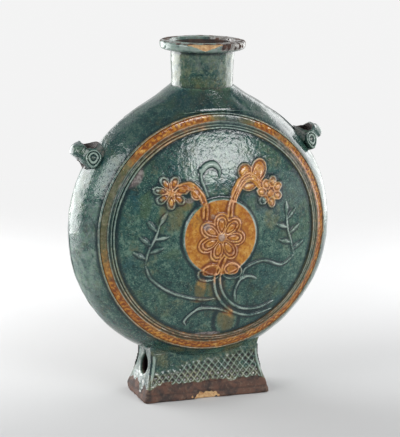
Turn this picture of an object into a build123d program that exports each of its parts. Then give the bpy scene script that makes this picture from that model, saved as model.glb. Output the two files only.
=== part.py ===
from build123d import *
import os
from math import cos, radians, sin, sqrt

os.makedirs("parts", exist_ok=True)

# A glazed pottery flask: a round, flattened body made of two pressed halves, a short
# neck with a flat rim, a flared foot of four slabs, two cord lugs and applied sprigs.
# The origin is at the middle of the foot's underside. +Z is up and the front is -Y.

# Driving sizes of the body, in millimetres
body_radius = 115.0
body_centre_height = 144.8
flank_reach = 61.8
wall = 5.0
dome_depth = 53.0
dome_radius = 238.0
ring_outer_radius = 99.4
panel_radius = 86.4

# Neck, rim and mouth
rim_top_height = 300.0
rim_radius = 36.0
rim_edge_height = 5.2
rim_rounding = 1.4
rim_underside_drop = 8.6
mouth_radius = 25.2
mouth_rounding = 1.2
neck_base_height = 262.5
neck_radius = 25.8
neck_top_radius = 27.0
neck_bore_radius = 20.5

# Clay collar that smooths the neck's joint into the shoulders
collar_step = 1.4
collar_reach = 66.5
collar_depth = 31.6
collar_foot_height = 238.0

# Foot
foot_half_width = 56.8
foot_half_depth = 27.8
waist_half_width = 48.2
waist_half_depth = 18.4
waist_height = 38.0
skirt_height = 19.0
skirt_half_width = 51.4
skirt_half_depth = 21.6
foot_top_half_width = 54.0
foot_top_half_depth = 24.0
foot_top_height = 56.0
foot_wall = 6.0
cord_hole_radius = 8.2
cord_hole_height = 27.0
cord_hole_tip = 12.0

# Raised lattice on the broad faces of the foot
lattice_rise = 1.0
slip_gap = 0.1
lattice_bar = 1.1
lattice_pitch = 5.6
lattice_angle = 42.0
lattice_low = 13.5
lattice_high = 33.0
lattice_frame = 4.4
frame_gap = 1.6

# Lugs, each on the flank where its own angle puts it
left_lug_angle = 33.0
right_lug_angle = 37.0
lug_reach = 17.0
lug_root = 6.0
lug_half_height = 12.0
lug_root_half_depth = 21.5
lug_cheek_reach = 12.0
lug_cheek_half_depth = 9.2
lug_nose_half_depth = 4.0
lug_chin_half_depth = 8.5
lug_chin_start = 1.0
lug_hole_top_reach = 7.0
lug_hole_low_reach = 2.8
lug_hole_top_size = 5.0
lug_hole_low_size = 3.8
lug_hole_top_depth = 10.4
lug_hole_low_depth = 6.4

# Side outline of a lug from its lower root round the nose to its mouth, as shares of its
# reach: outward from the flank, then up the flank
lug_outline_shares = [
    (0.12, -0.68), (0.35, -0.565), (0.56, -0.45), (0.74, -0.40), (0.90, -0.36), (0.99, -0.24),
    (1.00, -0.06), (0.95, 0.14), (0.82, 0.32), (0.66, 0.43), (0.35, 0.58), (0.09, 0.68),
]

# Eyes on the lugs' slanted cheeks
eye_reach = 1.6
eye_up = 0.5
eye_radius = 7.0
eye_tip = 9.6
eye_sink = 0.8
eye_plate = 0.6
eye_rise = 1.5
eye_line = 1.2
inner_eye_radius = 4.4
pupil_radius = 2.2

# Raised rings round the panels
bead_width_share = 0.13
bead_bevel_share = 0.03
band_low_share = 0.17
band_high_share = 0.83
groove_low_share = 0.44
groove_high_share = 0.56
ring_rise = 1.6
band_rise = 1.2
groove_depth = 0.6

# Sprigs on the panels
disc_radius = 32.0
disc_rise = 1.2
sprig_rise = 1.6
leaf_rise = 1.3
flower_rise = 1.5
petal_rise = 2.6
boss_rise = 3.2
stem_width = 2.0
tendril_width = 1.7
vein_width = 1.3

overrun = 12.0

# Everything hangs from these places, worked out from the sizes above
body_centre = Vector(0, 0, body_centre_height)
dome_centre_depth = dome_radius - dome_depth
ring_outer_depth = flank_reach * sqrt(1 - (ring_outer_radius / body_radius) ** 2)
ring_inner_depth = sqrt(dome_radius**2 - panel_radius**2) - dome_centre_depth
inner_flank_reach = flank_reach - wall
inner_body_radius = body_radius - wall
knee_radius = ring_outer_radius - wall
knee_depth = inner_flank_reach * sqrt(1 - (knee_radius / inner_body_radius) ** 2)
inner_panel_radius = panel_radius - wall
inner_dome_radius = dome_radius - wall
inner_panel_depth = sqrt(inner_dome_radius**2 - inner_panel_radius**2) - dome_centre_depth

panel = Plane(origin=body_centre, x_dir=(1, 0, 0), z_dir=(0, -1, 0))
profile = Plane(origin=body_centre, x_dir=(1, 0, 0), z_dir=(0, 0, -1))
foot_front = Plane(origin=(0, 0, 0), x_dir=(1, 0, 0), z_dir=(0, -1, 0))
body_axis = Axis(body_centre, (0, 1, 0))


def save(piece, label):
    """Name a finished piece and write it out."""
    piece.part.label = label
    export_step(piece.part, f"parts/{label}.step")


def save_pair(piece, label):
    """Write a front piece, and the same again turned to the back."""
    save(piece, label.format("front"))
    with BuildPart() as twin:
        add(piece.part, rotation=(0, 0, 180))
    save(twin, label.format("back"))


# Body


def dome(radius_at, ball):
    """Depth of a dome's surface at a distance from the panel's centre."""
    return sqrt(ball**2 - radius_at**2) - dome_centre_depth


def outer_line():
    """Half profile of the body's outside: dome, ring seat and flank."""
    ThreePointArc(
        (0, dome_depth),
        (panel_radius / 2, dome(panel_radius / 2, dome_radius)),
        (panel_radius, ring_inner_depth),
    )
    Line((panel_radius, ring_inner_depth), (ring_outer_radius, ring_outer_depth))
    flank_line(body_radius, flank_reach, ring_outer_radius, ring_outer_depth)


def inner_line():
    """Half profile of the body's inside, one wall within the outside."""
    ThreePointArc(
        (0, dome_depth - wall),
        (inner_panel_radius / 2, dome(inner_panel_radius / 2, inner_dome_radius)),
        (inner_panel_radius, inner_panel_depth),
    )
    Line((inner_panel_radius, inner_panel_depth), (knee_radius, knee_depth))
    flank_line(inner_body_radius, inner_flank_reach, knee_radius, knee_depth)


def flank_line(across, through, start_radius, start_depth):
    """Flank from the ring to the middle plane, part of an ellipse."""
    middle_share = (1 + start_radius / across) / 2
    ThreePointArc(
        (start_radius, start_depth),
        (across * middle_share, through * sqrt(1 - middle_share**2)),
        (across, 0),
    )


def make_envelope():
    """The body's whole outer form as one solid, to cut what seats on it."""
    with BuildPart() as piece:
        with BuildSketch(profile):
            with BuildLine():
                outer_line()
                Polyline((body_radius, 0), (0, 0), (0, dome_depth))
            make_face()
        revolve(axis=body_axis)
        mirror(about=Plane.XZ)
    return piece.part


def make_shell():
    """The front pressed half of the body, open where the neck joins."""
    with BuildPart() as piece:
        with BuildSketch(profile):
            with BuildLine():
                outer_line()
                Line((body_radius, 0), (inner_body_radius, 0))
                inner_line()
                Line((0, dome_depth - wall), (0, dome_depth))
            make_face()
        revolve(axis=body_axis)
        with BuildSketch(Plane(body_centre)):
            Circle(neck_bore_radius)
        extrude(amount=body_radius + overrun, mode=Mode.SUBTRACT)
    return piece


envelope = make_envelope()
save_pair(make_shell(), "{}_shell")


# Neck, rim and collar

rim_low_height = rim_top_height - rim_underside_drop

with BuildPart() as neck:
    with BuildSketch(Plane.XZ):
        with BuildLine():
            Polyline(
                (neck_bore_radius, body_centre_height + ring_outer_radius - overrun),
                (neck_radius, body_centre_height + ring_outer_radius - overrun),
                (neck_radius, neck_base_height),
            )
            Line((neck_radius, neck_base_height), (neck_top_radius, rim_low_height))
            Polyline(
                (neck_top_radius, rim_low_height),
                (neck_bore_radius, rim_low_height),
                (neck_bore_radius, body_centre_height + ring_outer_radius - overrun),
            )
        make_face()
    revolve(axis=Axis.Z)
    add(envelope, mode=Mode.SUBTRACT)
save(neck, "neck")

with BuildPart() as rim:
    with BuildSketch(Plane.XZ):
        with BuildLine():
            Polyline(
                (neck_bore_radius, rim_low_height),
                (neck_top_radius, rim_low_height),
                (rim_radius - rim_rounding, rim_top_height - rim_rounding - rim_edge_height),
                (rim_radius, rim_top_height - rim_edge_height),
                (rim_radius, rim_top_height - rim_rounding),
                (rim_radius - rim_rounding, rim_top_height),
                (mouth_radius + mouth_rounding, rim_top_height),
                (mouth_radius, rim_top_height - mouth_rounding),
                (neck_bore_radius, rim_low_height),
            )
        make_face()
    revolve(axis=Axis.Z)
save(rim, "rim")

with BuildPart() as collar:
    with BuildSketch(Plane.XY.offset(collar_foot_height)):
        Ellipse(collar_reach, collar_depth)
    with BuildSketch(Plane.XY.offset(neck_base_height)):
        Circle(neck_radius + collar_step)
    loft()
    with BuildSketch(Plane.XY.offset(collar_foot_height)):
        Circle(neck_radius)
    extrude(amount=neck_base_height - collar_foot_height, mode=Mode.SUBTRACT)
    add(envelope, mode=Mode.SUBTRACT)
save(collar, "shoulder_collar")


# Foot


def flare_line(bottom, skirt, waist, top, side):
    """One side of the foot's outline, drawn in at the waist."""
    Spline(
        (side * bottom, 0),
        (side * skirt, skirt_height),
        (side * waist, waist_height),
        (side * top, foot_top_height),
    )


def flare_face(bottom, skirt, waist, top, inset=0):
    """Whole outline of the foot seen from one side, inset by a wall."""
    with BuildLine() as outline:
        flare_line(bottom - inset, skirt - inset, waist - inset, top - inset, 1)
        Line((top - inset, foot_top_height), (inset - top, foot_top_height))
        flare_line(bottom - inset, skirt - inset, waist - inset, top - inset, -1)
        Line((inset - bottom, 0), (bottom - inset, 0))
    make_face(outline.edges())


def wide_face(inset=0):
    """The foot's outline seen from the front."""
    flare_face(foot_half_width, skirt_half_width, waist_half_width, foot_top_half_width, inset)


def narrow_face(inset=0):
    """The foot's outline seen from an end."""
    flare_face(foot_half_depth, skirt_half_depth, waist_half_depth, foot_top_half_depth, inset)


def make_foot_block():
    """The foot's outer form as one block under the body."""
    with BuildPart() as piece:
        with BuildSketch(Plane.XZ):
            wide_face()
        extrude(amount=foot_half_width, both=True)
        with BuildSketch(Plane.YZ):
            narrow_face()
        extrude(amount=foot_half_width + overrun, both=True, mode=Mode.INTERSECT)
        add(envelope, mode=Mode.SUBTRACT)
    return piece.part


def make_long_core(inset):
    """Everything between the foot's two broad slabs."""
    with BuildPart() as piece:
        with BuildSketch(Plane.YZ):
            narrow_face(inset)
        extrude(amount=foot_half_width + overrun, both=True)
    return piece.part


foot_block = make_foot_block()
foot_core = make_long_core(foot_wall)


def keep_side(plane):
    """Keep what lies beyond a plane through the foot's middle."""
    split(bisect_by=plane, keep=Keep.TOP)


def make_broad_slab():
    """The front slab of the foot, as wide as the foot."""
    with BuildPart() as piece:
        add(foot_block)
        add(foot_core, mode=Mode.SUBTRACT)
        keep_side(foot_front)
    return piece


def make_end_slab(side):
    """An end slab between the broad ones, with its hole for the cord."""
    with BuildPart() as piece:
        add(foot_block)
        add(foot_core, mode=Mode.INTERSECT)
        with BuildSketch(Plane.XZ):
            wide_face(foot_wall)
        extrude(amount=foot_half_width, both=True, mode=Mode.SUBTRACT)
        keep_side(Plane(origin=(0, 0, 0), z_dir=(side, 0, 0)))
        with BuildSketch(Plane.YZ):
            cord_hole_face()
        extrude(amount=foot_half_width + overrun, both=True, mode=Mode.SUBTRACT)
    return piece


def cord_hole_face():
    """Drop-shaped hole: a circle drawn up to a point."""
    touch = cord_hole_radius**2 / cord_hole_tip
    across = cord_hole_radius * sqrt(1 - (cord_hole_radius / cord_hole_tip) ** 2)
    with BuildLine() as point:
        Polyline(
            (-across, cord_hole_height + touch),
            (0, cord_hole_height + cord_hole_tip),
            (across, cord_hole_height + touch),
            close=True,
        )
    make_face(point.edges())
    with Locations((0, cord_hole_height)):
        Circle(cord_hole_radius)


save_pair(make_broad_slab(), "foot_{}_slab")
for side_name, side in (("left", -1), ("right", 1)):
    save(make_end_slab(side), f"foot_{side_name}_slab")


def lattice_face():
    """Crossed bars and two upright frame bars, in the front view."""
    middle = (lattice_low + lattice_high) / 2
    height = lattice_high - lattice_low
    bar_length = foot_half_width
    count = int(foot_half_width / lattice_pitch) + 2
    for step in range(-count, count + 1):
        for lean in (-1, 1):
            with Locations(Location((step * lattice_pitch, middle, 0), (0, 0, lean * lattice_angle))):
                Rectangle(lattice_bar, bar_length)
    with Locations((0, middle)):
        Rectangle(2 * (skirt_half_width - lattice_frame - frame_gap), height, mode=Mode.INTERSECT)
    for side in (-1, 1):
        with Locations((side * (skirt_half_width - lattice_frame / 2 - frame_gap), middle)):
            Rectangle(lattice_frame, height)


def make_lattice():
    """The raised lattice, seated on the hollow curve of the front slab."""
    with BuildPart() as piece:
        with BuildSketch(foot_front):
            lattice_face()
        extrude(amount=foot_half_depth + overrun)
        with BuildSketch(Plane.YZ):
            narrow_face(-lattice_rise)
        extrude(amount=foot_half_width, both=True, mode=Mode.INTERSECT)
        add(make_long_core(-slip_gap), mode=Mode.SUBTRACT)
        add(envelope, mode=Mode.SUBTRACT)
    return piece


save_pair(make_lattice(), "foot_{}_lattice")


# Lugs


def lug_plane(side, angle):
    """Plane through a lug's middle: local x outward, local y up the flank."""
    out = Vector(side * cos(radians(angle)), 0, sin(radians(angle)))
    return Plane(origin=body_centre + out * body_radius, x_dir=out, z_dir=(0, -side, 0))


def lug_face():
    """Head-like side outline of a lug: mouth on top, nose outward, chin below."""
    places = [(out * lug_reach, up * lug_reach) for out, up in lug_outline_shares]
    with BuildLine() as outline:
        Spline(*places)
        Polyline(
            places[-1],
            (0, lug_half_height),
            (-lug_root, lug_half_height),
            (-lug_root, -lug_half_height),
            (0, -lug_half_height),
            places[0],
        )
    make_face(outline.edges())


def mirrored_face(half):
    """A closed outline from the points of its upper half, in order."""
    lower = [(across, -up) for across, up in reversed(half)]
    with BuildLine() as outline:
        Polyline(*half, *lower, close=True)
    make_face(outline.edges())


def lug_plan():
    """Lug seen along the flank: a wedge from its root to a blunt nose."""
    mirrored_face([
        (-lug_root, lug_root_half_depth),
        (lug_cheek_reach, lug_cheek_half_depth),
        (lug_reach, lug_nose_half_depth),
    ])


def lug_front():
    """Lug seen from outside the flask, drawn in to the chin."""
    mirrored_face([
        (-lug_half_height, lug_chin_half_depth),
        (-lug_chin_start, lug_root_half_depth),
        (lug_half_height, lug_root_half_depth),
    ])


def make_lug(side, angle):
    """A cord lug like a small head, its mouth leading down a tapered hole."""
    middle = lug_plane(side, angle)
    along = Plane(origin=middle.origin, x_dir=middle.x_dir, z_dir=middle.y_dir)
    facing = Plane(origin=middle.origin, x_dir=middle.y_dir, z_dir=middle.x_dir)
    with BuildPart() as piece:
        with BuildSketch(middle):
            lug_face()
        extrude(amount=lug_root_half_depth, both=True)
        with BuildSketch(along):
            lug_plan()
        extrude(amount=lug_half_height + overrun, both=True, mode=Mode.INTERSECT)
        with BuildSketch(facing):
            lug_front()
        extrude(amount=lug_reach + overrun, both=True, mode=Mode.INTERSECT)
        with BuildSketch(along.offset(-lug_half_height)):
            with Locations((lug_hole_low_reach, 0)):
                Ellipse(lug_hole_low_size, lug_hole_low_depth)
        with BuildSketch(along.offset(lug_half_height)):
            with Locations((lug_hole_top_reach, 0)):
                Ellipse(lug_hole_top_size, lug_hole_top_depth)
        loft(mode=Mode.SUBTRACT)
        add(envelope, mode=Mode.SUBTRACT)
    return piece


def cheek_plane(side, angle, facing):
    """Plane on a lug's slanted cheek at its eye, with local y up the flank."""
    middle = lug_plane(side, angle)
    run = lug_cheek_reach + lug_root
    slope = (lug_root_half_depth - lug_cheek_half_depth) / run
    half_depth = lug_root_half_depth - slope * (eye_reach + lug_root)
    along = (middle.x_dir - Vector(0, facing * slope, 0)).normalized()
    spot = middle.origin + middle.x_dir * eye_reach + middle.y_dir * eye_up
    normal = (Vector(0, facing, 0) + middle.x_dir * slope).normalized()
    return Plane(origin=spot + Vector(0, facing * half_depth, 0), x_dir=along, z_dir=normal)


def make_eye(side, angle, facing):
    """Round eye with two raised rings, a pupil and a drop-shaped tip."""
    seat = cheek_plane(side, angle, facing)
    down = Vector(0, 0, -1)
    across_down = seat.x_dir.dot(down)
    up_down = seat.y_dir.dot(down)
    length = sqrt(across_down**2 + up_down**2)
    tip = Vector(across_down / length, up_down / length)
    side_on = Vector(-tip.Y, tip.X)
    wide = eye_radius * sqrt(1 - (eye_radius / eye_tip) ** 2)
    touch = eye_radius**2 / eye_tip
    with BuildPart() as piece:
        with BuildSketch(seat.offset(-eye_sink)):
            Circle(eye_radius)
            with BuildLine():
                Polyline(
                    tip * touch + side_on * wide,
                    tip * eye_tip,
                    tip * touch - side_on * wide,
                    close=True,
                )
            make_face()
        extrude(amount=eye_plate + eye_sink)
        with BuildSketch(seat.offset(eye_plate)):
            Circle(eye_radius)
            Circle(eye_radius - eye_line, mode=Mode.SUBTRACT)
            Circle(inner_eye_radius)
            Circle(inner_eye_radius - eye_line, mode=Mode.SUBTRACT)
            Circle(pupil_radius)
        extrude(amount=eye_rise - eye_plate)
        add(envelope, mode=Mode.SUBTRACT)
        add(lugs[side].part, mode=Mode.SUBTRACT)
    return piece


lugs = {side: make_lug(side, angle) for side, angle in ((-1, left_lug_angle), (1, right_lug_angle))}
for side_name, side, angle in (("left", -1, left_lug_angle), ("right", 1, right_lug_angle)):
    save(lugs[side], f"{side_name}_lug")
    for facing_name, facing in (("front", -1), ("back", 1)):
        save(make_eye(side, angle, facing), f"{side_name}_lug_{facing_name}_eye")


# Rings round the panels


def ring_point(share, rise):
    """A point over the ring's seat: share of the way out, height off it."""
    run = ring_outer_radius - panel_radius
    drop = ring_inner_depth - ring_outer_depth
    length = sqrt(run**2 + drop**2)
    radius_here = panel_radius + run * share + rise * drop / length
    return radius_here, ring_inner_depth - drop * share + rise * run / length


def make_bead(low_share, high_share):
    """A raised bead with bevelled sides on the ring's seat."""
    with BuildPart() as piece:
        with BuildSketch(profile):
            with BuildLine():
                Polyline(
                    ring_point(low_share, 0),
                    ring_point(low_share + bead_bevel_share, ring_rise),
                    ring_point(high_share - bead_bevel_share, ring_rise),
                    ring_point(high_share, 0),
                    close=True,
                )
            make_face()
        revolve(axis=body_axis)
    return piece


def make_band():
    """The flat band between the beads, with a groove down its middle."""
    with BuildPart() as piece:
        with BuildSketch(profile):
            with BuildLine():
                Polyline(
                    ring_point(band_low_share, 0),
                    ring_point(band_low_share, band_rise),
                    ring_point(groove_low_share, band_rise),
                    ring_point(groove_low_share, band_rise - groove_depth),
                    ring_point(groove_high_share, band_rise - groove_depth),
                    ring_point(groove_high_share, band_rise),
                    ring_point(band_high_share, band_rise),
                    ring_point(band_high_share, 0),
                    close=True,
                )
            make_face()
        revolve(axis=body_axis)
    return piece


save_pair(make_bead(0, bead_width_share), "{}_inner_bead")
save_pair(make_bead(1 - bead_width_share, 1), "{}_outer_bead")
save_pair(make_band(), "{}_ring_band")


# Sprigs: places on a panel are shares of the panel's radius, x to the right and y up

disc_centre_share = (-0.017, 0.0)
left_flower_share = (-0.492, 0.440)
right_flower_share = (0.503, 0.382)
left_sepal_share = (-0.127, -0.324)
right_sepal_share = (0.093, -0.312)
eye_leaf_share = (-0.382, 0.457)
bud_leaf_share = (-0.250, 0.415)
arch_leaf_share = (0.262, 0.468)
fan_leaf_share = (0.384, 0.628)

main_stem_shares = [
    [(-0.017, -0.197), (-0.064, -0.347), (-0.046, -0.521), (0.035, -0.660), (0.162, -0.764),
     (0.359, -0.822), (0.590, -0.782)],
    [(0.029, -0.208), (-0.010, -0.347), (0.012, -0.509), (0.104, -0.648), (0.243, -0.735),
     (0.428, -0.752), (0.602, -0.700)],
]
left_branch_shares = [
    [(-0.162, 0.185), (-0.158, 0.310), (-0.197, 0.417), (-0.300, 0.525), (-0.440, 0.500)],
    [(-0.195, 0.200), (-0.200, 0.330), (-0.278, 0.446), (-0.394, 0.475)],
]
right_branch_shares = [
    [(0.030, 0.200), (0.030, 0.370), (0.110, 0.540), (0.240, 0.612), (0.370, 0.556)],
    [(0.068, 0.215), (0.075, 0.370), (0.150, 0.509), (0.250, 0.570), (0.370, 0.515)],
    [(0.116, 0.394), (0.185, 0.490), (0.270, 0.528), (0.359, 0.480)],
]
curl_stem_shares = [(-0.145, 0.394), (-0.174, 0.486), (-0.197, 0.556), (-0.191, 0.640)]
curl_leaf_shares = [(-0.191, 0.630), (-0.139, 0.677), (-0.070, 0.688), (-0.020, 0.640), (-0.017, 0.579)]
upper_leaf_shares = [(0.150, 0.600), (0.185, 0.668), (0.243, 0.700), (0.300, 0.671)]
tendril_shares = [
    [(-0.729, -0.255), (-0.660, -0.394), (-0.463, -0.532), (-0.208, -0.608), (-0.040, -0.612)],
    [(0.220, -0.405), (0.255, -0.318), (0.440, -0.266), (0.648, -0.330), (0.787, -0.255)],
    [(0.382, -0.446), (0.300, -0.408), (0.210, -0.430), (0.156, -0.544), (0.174, -0.660)],
    [(-0.295, -0.880), (-0.318, -0.820), (-0.197, -0.712), (-0.020, -0.716), (0.120, -0.768)],
]

# Leaf sprays at both sides: each leaf has its root's place and its direction in degrees
left_spray_stem_shares = [(-0.729, -0.240), (-0.705, -0.120), (-0.640, 0.020), (-0.600, 0.150)]
right_spray_stem_shares = [(0.787, -0.240), (0.745, -0.110), (0.700, 0.040), (0.690, 0.180)]
left_spray_leaf_shares = [
    ((-0.722, -0.190), 150.0), ((-0.700, -0.130), 20.0), ((-0.678, -0.060), 140.0),
    ((-0.655, 0.000), 10.0), ((-0.628, 0.070), 130.0), ((-0.606, 0.130), 60.0),
]
right_spray_leaf_shares = [
    ((0.770, -0.190), 30.0), ((0.748, -0.120), 165.0), ((0.722, -0.030), 35.0),
    ((0.705, 0.030), 160.0), ((0.692, 0.110), 45.0), ((0.690, 0.150), 92.0),
]

petal_count = 7
petal_start = 90.0
petal_reach = 18.0
petal_root = 3.6
petal_half_width = 4.4
calyx_reach = 22.5
calyx_half_width = 7.4
boss_radius = 3.2
side_petal_reach = 14.0
side_petal_half_width = 3.4
side_petal_root = 2.6
side_petal_starts = {"left": 12.0, "right": -22.0}
sepal_across = 7.4
sepal_up = 5.8
sepal_turn = 8.0
eye_leaf_across = 6.2
eye_leaf_up = 3.0
bud_across = 3.4
bud_up = 4.6
arch_leaf_across = 7.6
arch_leaf_up = 3.2
fan_across = 6.4
fan_up = 7.2
spray_leaf_length = 13.0
spray_leaf_half_width = 1.9
curl_width = 3.4


def place(share):
    """A place on the panel in millimetres."""
    return share[0] * panel_radius, share[1] * panel_radius


def turned(share, turn):
    """A place on the panel, turned by an angle in degrees."""
    return Location((*place(share), 0), (0, 0, turn))


def ribbon(shares, width, mode=Mode.ADD):
    """A clay ribbon of even width through places on the panel."""
    with BuildLine() as path:
        Spline(*[place(share) for share in shares])
    trace(path.edges(), line_width=width, mode=mode)


def oval(share, across, up, mode=Mode.ADD, turn=0):
    """An oval leaf at a place on the panel."""
    with Locations(turned(share, turn)):
        Ellipse(across, up, mode=mode)


def rosette(share, reach, half_width, root, start, mode=Mode.ADD):
    """Petals set evenly round a place, joined at its middle."""
    half_length = (reach - root) / 2
    with Locations(place(share)):
        Circle(root + half_width / 2, mode=mode)
        with PolarLocations(root + half_length, petal_count, start_angle=start):
            Ellipse(half_length, half_width, mode=mode)


def side_flower(side_name, mode=Mode.ADD):
    """One of the two smaller flowers."""
    share = left_flower_share if side_name == "left" else right_flower_share
    start = side_petal_starts[side_name]
    rosette(share, side_petal_reach, side_petal_half_width, side_petal_root, start, mode)


def main_stems(mode=Mode.ADD):
    """The two stems that run down from the middle flower."""
    for shares in main_stem_shares:
        ribbon(shares, stem_width, mode)


def sepals(mode=Mode.ADD):
    """The pair of leaves where the stems leave the disc."""
    oval(left_sepal_share, sepal_across, sepal_up, mode, turn=-sepal_turn)
    oval(right_sepal_share, sepal_across, sepal_up, mode, turn=sepal_turn)


def calyx(mode=Mode.ADD):
    """Scalloped plate under the middle flower's petals."""
    rosette(disc_centre_share, calyx_reach, calyx_half_width, petal_root, petal_start, mode)


def petals(mode=Mode.ADD):
    """The middle flower's petals."""
    rosette(disc_centre_share, petal_reach, petal_half_width, petal_root, petal_start, mode)


def left_branch(mode=Mode.ADD):
    """Ridges that rise from the disc to the left flower."""
    for shares in left_branch_shares:
        ribbon(shares, stem_width, mode)


def right_branch(mode=Mode.ADD):
    """Ridges that rise from the disc and arch over to the right flower."""
    for shares in right_branch_shares:
        ribbon(shares, stem_width, mode)


def left_leaves(mode=Mode.ADD):
    """The eye-shaped leaf and the bud under the left branch."""
    oval(eye_leaf_share, eye_leaf_across, eye_leaf_up, mode)
    oval(bud_leaf_share, bud_across, bud_up, mode)


def right_leaves(mode=Mode.ADD):
    """The leaf under the right arch and the two above it."""
    oval(arch_leaf_share, arch_leaf_across, arch_leaf_up, mode)
    oval(fan_leaf_share, fan_across, fan_up, mode)
    ribbon(upper_leaf_shares, stem_width, mode)


def curl_sprig(mode=Mode.ADD):
    """A thin stem that ends in a curled leaf."""
    ribbon(curl_stem_shares, tendril_width, mode)
    ribbon(curl_leaf_shares, curl_width, mode)


def tendrils(mode=Mode.ADD):
    """Four tendrils that swing out from the main stems."""
    for shares in tendril_shares:
        ribbon(shares, tendril_width, mode)


def spray(stem_shares, leaves, mode=Mode.ADD):
    """A stem with slender leaves on both sides."""
    ribbon(stem_shares, vein_width, mode)
    for share, direction in leaves:
        with Locations(turned(share, direction)):
            with Locations((spray_leaf_length / 2, 0)):
                Ellipse(spray_leaf_length / 2, spray_leaf_half_width, mode=mode)


def left_spray(mode=Mode.ADD):
    """Leaf spray at the end of the left tendril."""
    spray(left_spray_stem_shares, left_spray_leaf_shares, mode)


def right_spray(mode=Mode.ADD):
    """Leaf spray at the end of the right tendril."""
    spray(right_spray_stem_shares, right_spray_leaf_shares, mode)


def disc(mode=Mode.ADD):
    """The round plateau behind the middle flower."""
    with Locations(place(disc_centre_share)):
        Circle(disc_radius, mode=mode)


def flower_boss(share):
    """Round middle of a flower."""
    with Locations(place(share)):
        Circle(boss_radius)


def side_bosses():
    """Middles of the two smaller flowers."""
    flower_boss(left_flower_share)
    flower_boss(right_flower_share)


def make_sprig(draw, seat, rise, leave_out=(), cutters=()):
    """Clay sprig between two skins of the dome, cut clear of its neighbours."""
    with BuildPart() as piece:
        with BuildSketch(panel):
            draw()
            for other in leave_out:
                other(Mode.SUBTRACT)
        extrude(amount=dome_depth + overrun)
        with Locations(panel.offset(-dome_centre_depth)):
            Sphere(dome_radius + rise, mode=Mode.INTERSECT)
            Sphere(dome_radius + seat, mode=Mode.SUBTRACT)
        for cutter in cutters:
            add(cutter, mode=Mode.SUBTRACT)
    return piece


def left_flower(mode=Mode.ADD):
    """The smaller flower on the left."""
    side_flower("left", mode)


def right_flower(mode=Mode.ADD):
    """The smaller flower on the right."""
    side_flower("right", mode)


def middle_boss():
    """Middle of the large flower."""
    flower_boss(disc_centre_share)


# Each sprig: its drawing, the rises of its seat and top, and what it is cut clear of
on_disc_rise = sprig_rise + disc_rise / 2
plate = make_sprig(disc, 0, disc_rise)
over_disc = (plate.part,)
sprigs = {
    "calyx": (calyx, disc_rise, flower_rise + disc_rise / 2, (petals,)),
    "petals": (petals, disc_rise, petal_rise),
    "boss": (middle_boss, petal_rise, boss_rise),
    "main_stems": (main_stems, 0, on_disc_rise, (calyx,), over_disc),
    "sepals": (sepals, 0, on_disc_rise, (main_stems, calyx), over_disc),
    "left_flower": (left_flower, 0, flower_rise),
    "right_flower": (right_flower, 0, flower_rise),
    "side_bosses": (side_bosses, flower_rise, petal_rise),
    "left_branch": (left_branch, 0, on_disc_rise, (left_flower, calyx), over_disc),
    "right_branch": (right_branch, 0, on_disc_rise, (right_flower, calyx), over_disc),
    "left_leaves": (left_leaves, 0, leaf_rise, (left_branch, left_flower)),
    "right_leaves": (right_leaves, 0, leaf_rise, (right_branch, right_flower)),
    "curl_sprig": (curl_sprig, 0, sprig_rise, (left_branch,), over_disc),
    "tendrils": (tendrils, 0, sprig_rise, (main_stems, sepals), over_disc),
    "left_spray": (left_spray, 0, leaf_rise, (tendrils,)),
    "right_spray": (right_spray, 0, leaf_rise, (tendrils,)),
}
save_pair(plate, "{}_disc")
for label, sprig in sprigs.items():
    save_pair(make_sprig(*sprig), "{}_" + label)
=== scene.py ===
"""Looks of a glazed pottery flask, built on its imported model.

Lengths are in millimetres, unless a comment says metres, and become metres when a mesh, a lamp
or the camera is made.
"""
import math

import bpy
import numpy as np
from mathutils import Matrix, Vector


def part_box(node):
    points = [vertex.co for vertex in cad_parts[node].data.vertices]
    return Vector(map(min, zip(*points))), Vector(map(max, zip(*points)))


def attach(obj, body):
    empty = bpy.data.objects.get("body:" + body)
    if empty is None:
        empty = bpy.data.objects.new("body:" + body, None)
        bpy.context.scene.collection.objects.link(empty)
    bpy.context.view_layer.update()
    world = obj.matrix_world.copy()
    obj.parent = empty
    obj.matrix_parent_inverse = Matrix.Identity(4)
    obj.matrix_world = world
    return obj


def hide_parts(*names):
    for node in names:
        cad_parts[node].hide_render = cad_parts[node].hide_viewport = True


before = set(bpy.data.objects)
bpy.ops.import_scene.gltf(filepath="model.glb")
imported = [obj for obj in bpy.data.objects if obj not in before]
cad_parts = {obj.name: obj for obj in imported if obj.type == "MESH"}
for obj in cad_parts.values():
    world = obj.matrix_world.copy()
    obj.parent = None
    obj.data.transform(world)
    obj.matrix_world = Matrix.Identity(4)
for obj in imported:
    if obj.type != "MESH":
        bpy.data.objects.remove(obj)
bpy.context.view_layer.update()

MM = 0.001


def node_box(node):
    """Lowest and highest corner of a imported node, in millimetres."""
    low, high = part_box(node)
    return np.array(low) / MM, np.array(high) / MM


# Sizes read from the frame

shell_low, shell_high = node_box("front_shell")
body_radius = shell_high[0]
body_centre = shell_low[2] + body_radius
body_middle = np.array([0.0, 0.0, body_centre])
dome_depth = -shell_low[1]
rim_top = node_box("rim")[1][2]

# Sizes of the body's skin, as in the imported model

dome_radius = 238.0
flank_reach = 61.8
ring_outer_radius = 99.4
panel_radius = 86.4
wall = 5.0
dome_centre = dome_radius - dome_depth

# Grid that carries the relief of a panel

grid_step = 0.5
grid_reach = panel_radius + 1.4
skirt = 0.9


# Small tools


def smooth(low, high, value):
    """0 below low, 1 above high and an even turn between."""
    share = np.clip((value - low) / (high - low), 0.0, 1.0)
    return share * share * (3.0 - 2.0 * share)


def unit(vectors):
    """Vectors brought to length one."""
    return vectors / np.maximum(np.linalg.norm(vectors, axis=-1, keepdims=True), 1e-9)


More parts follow.
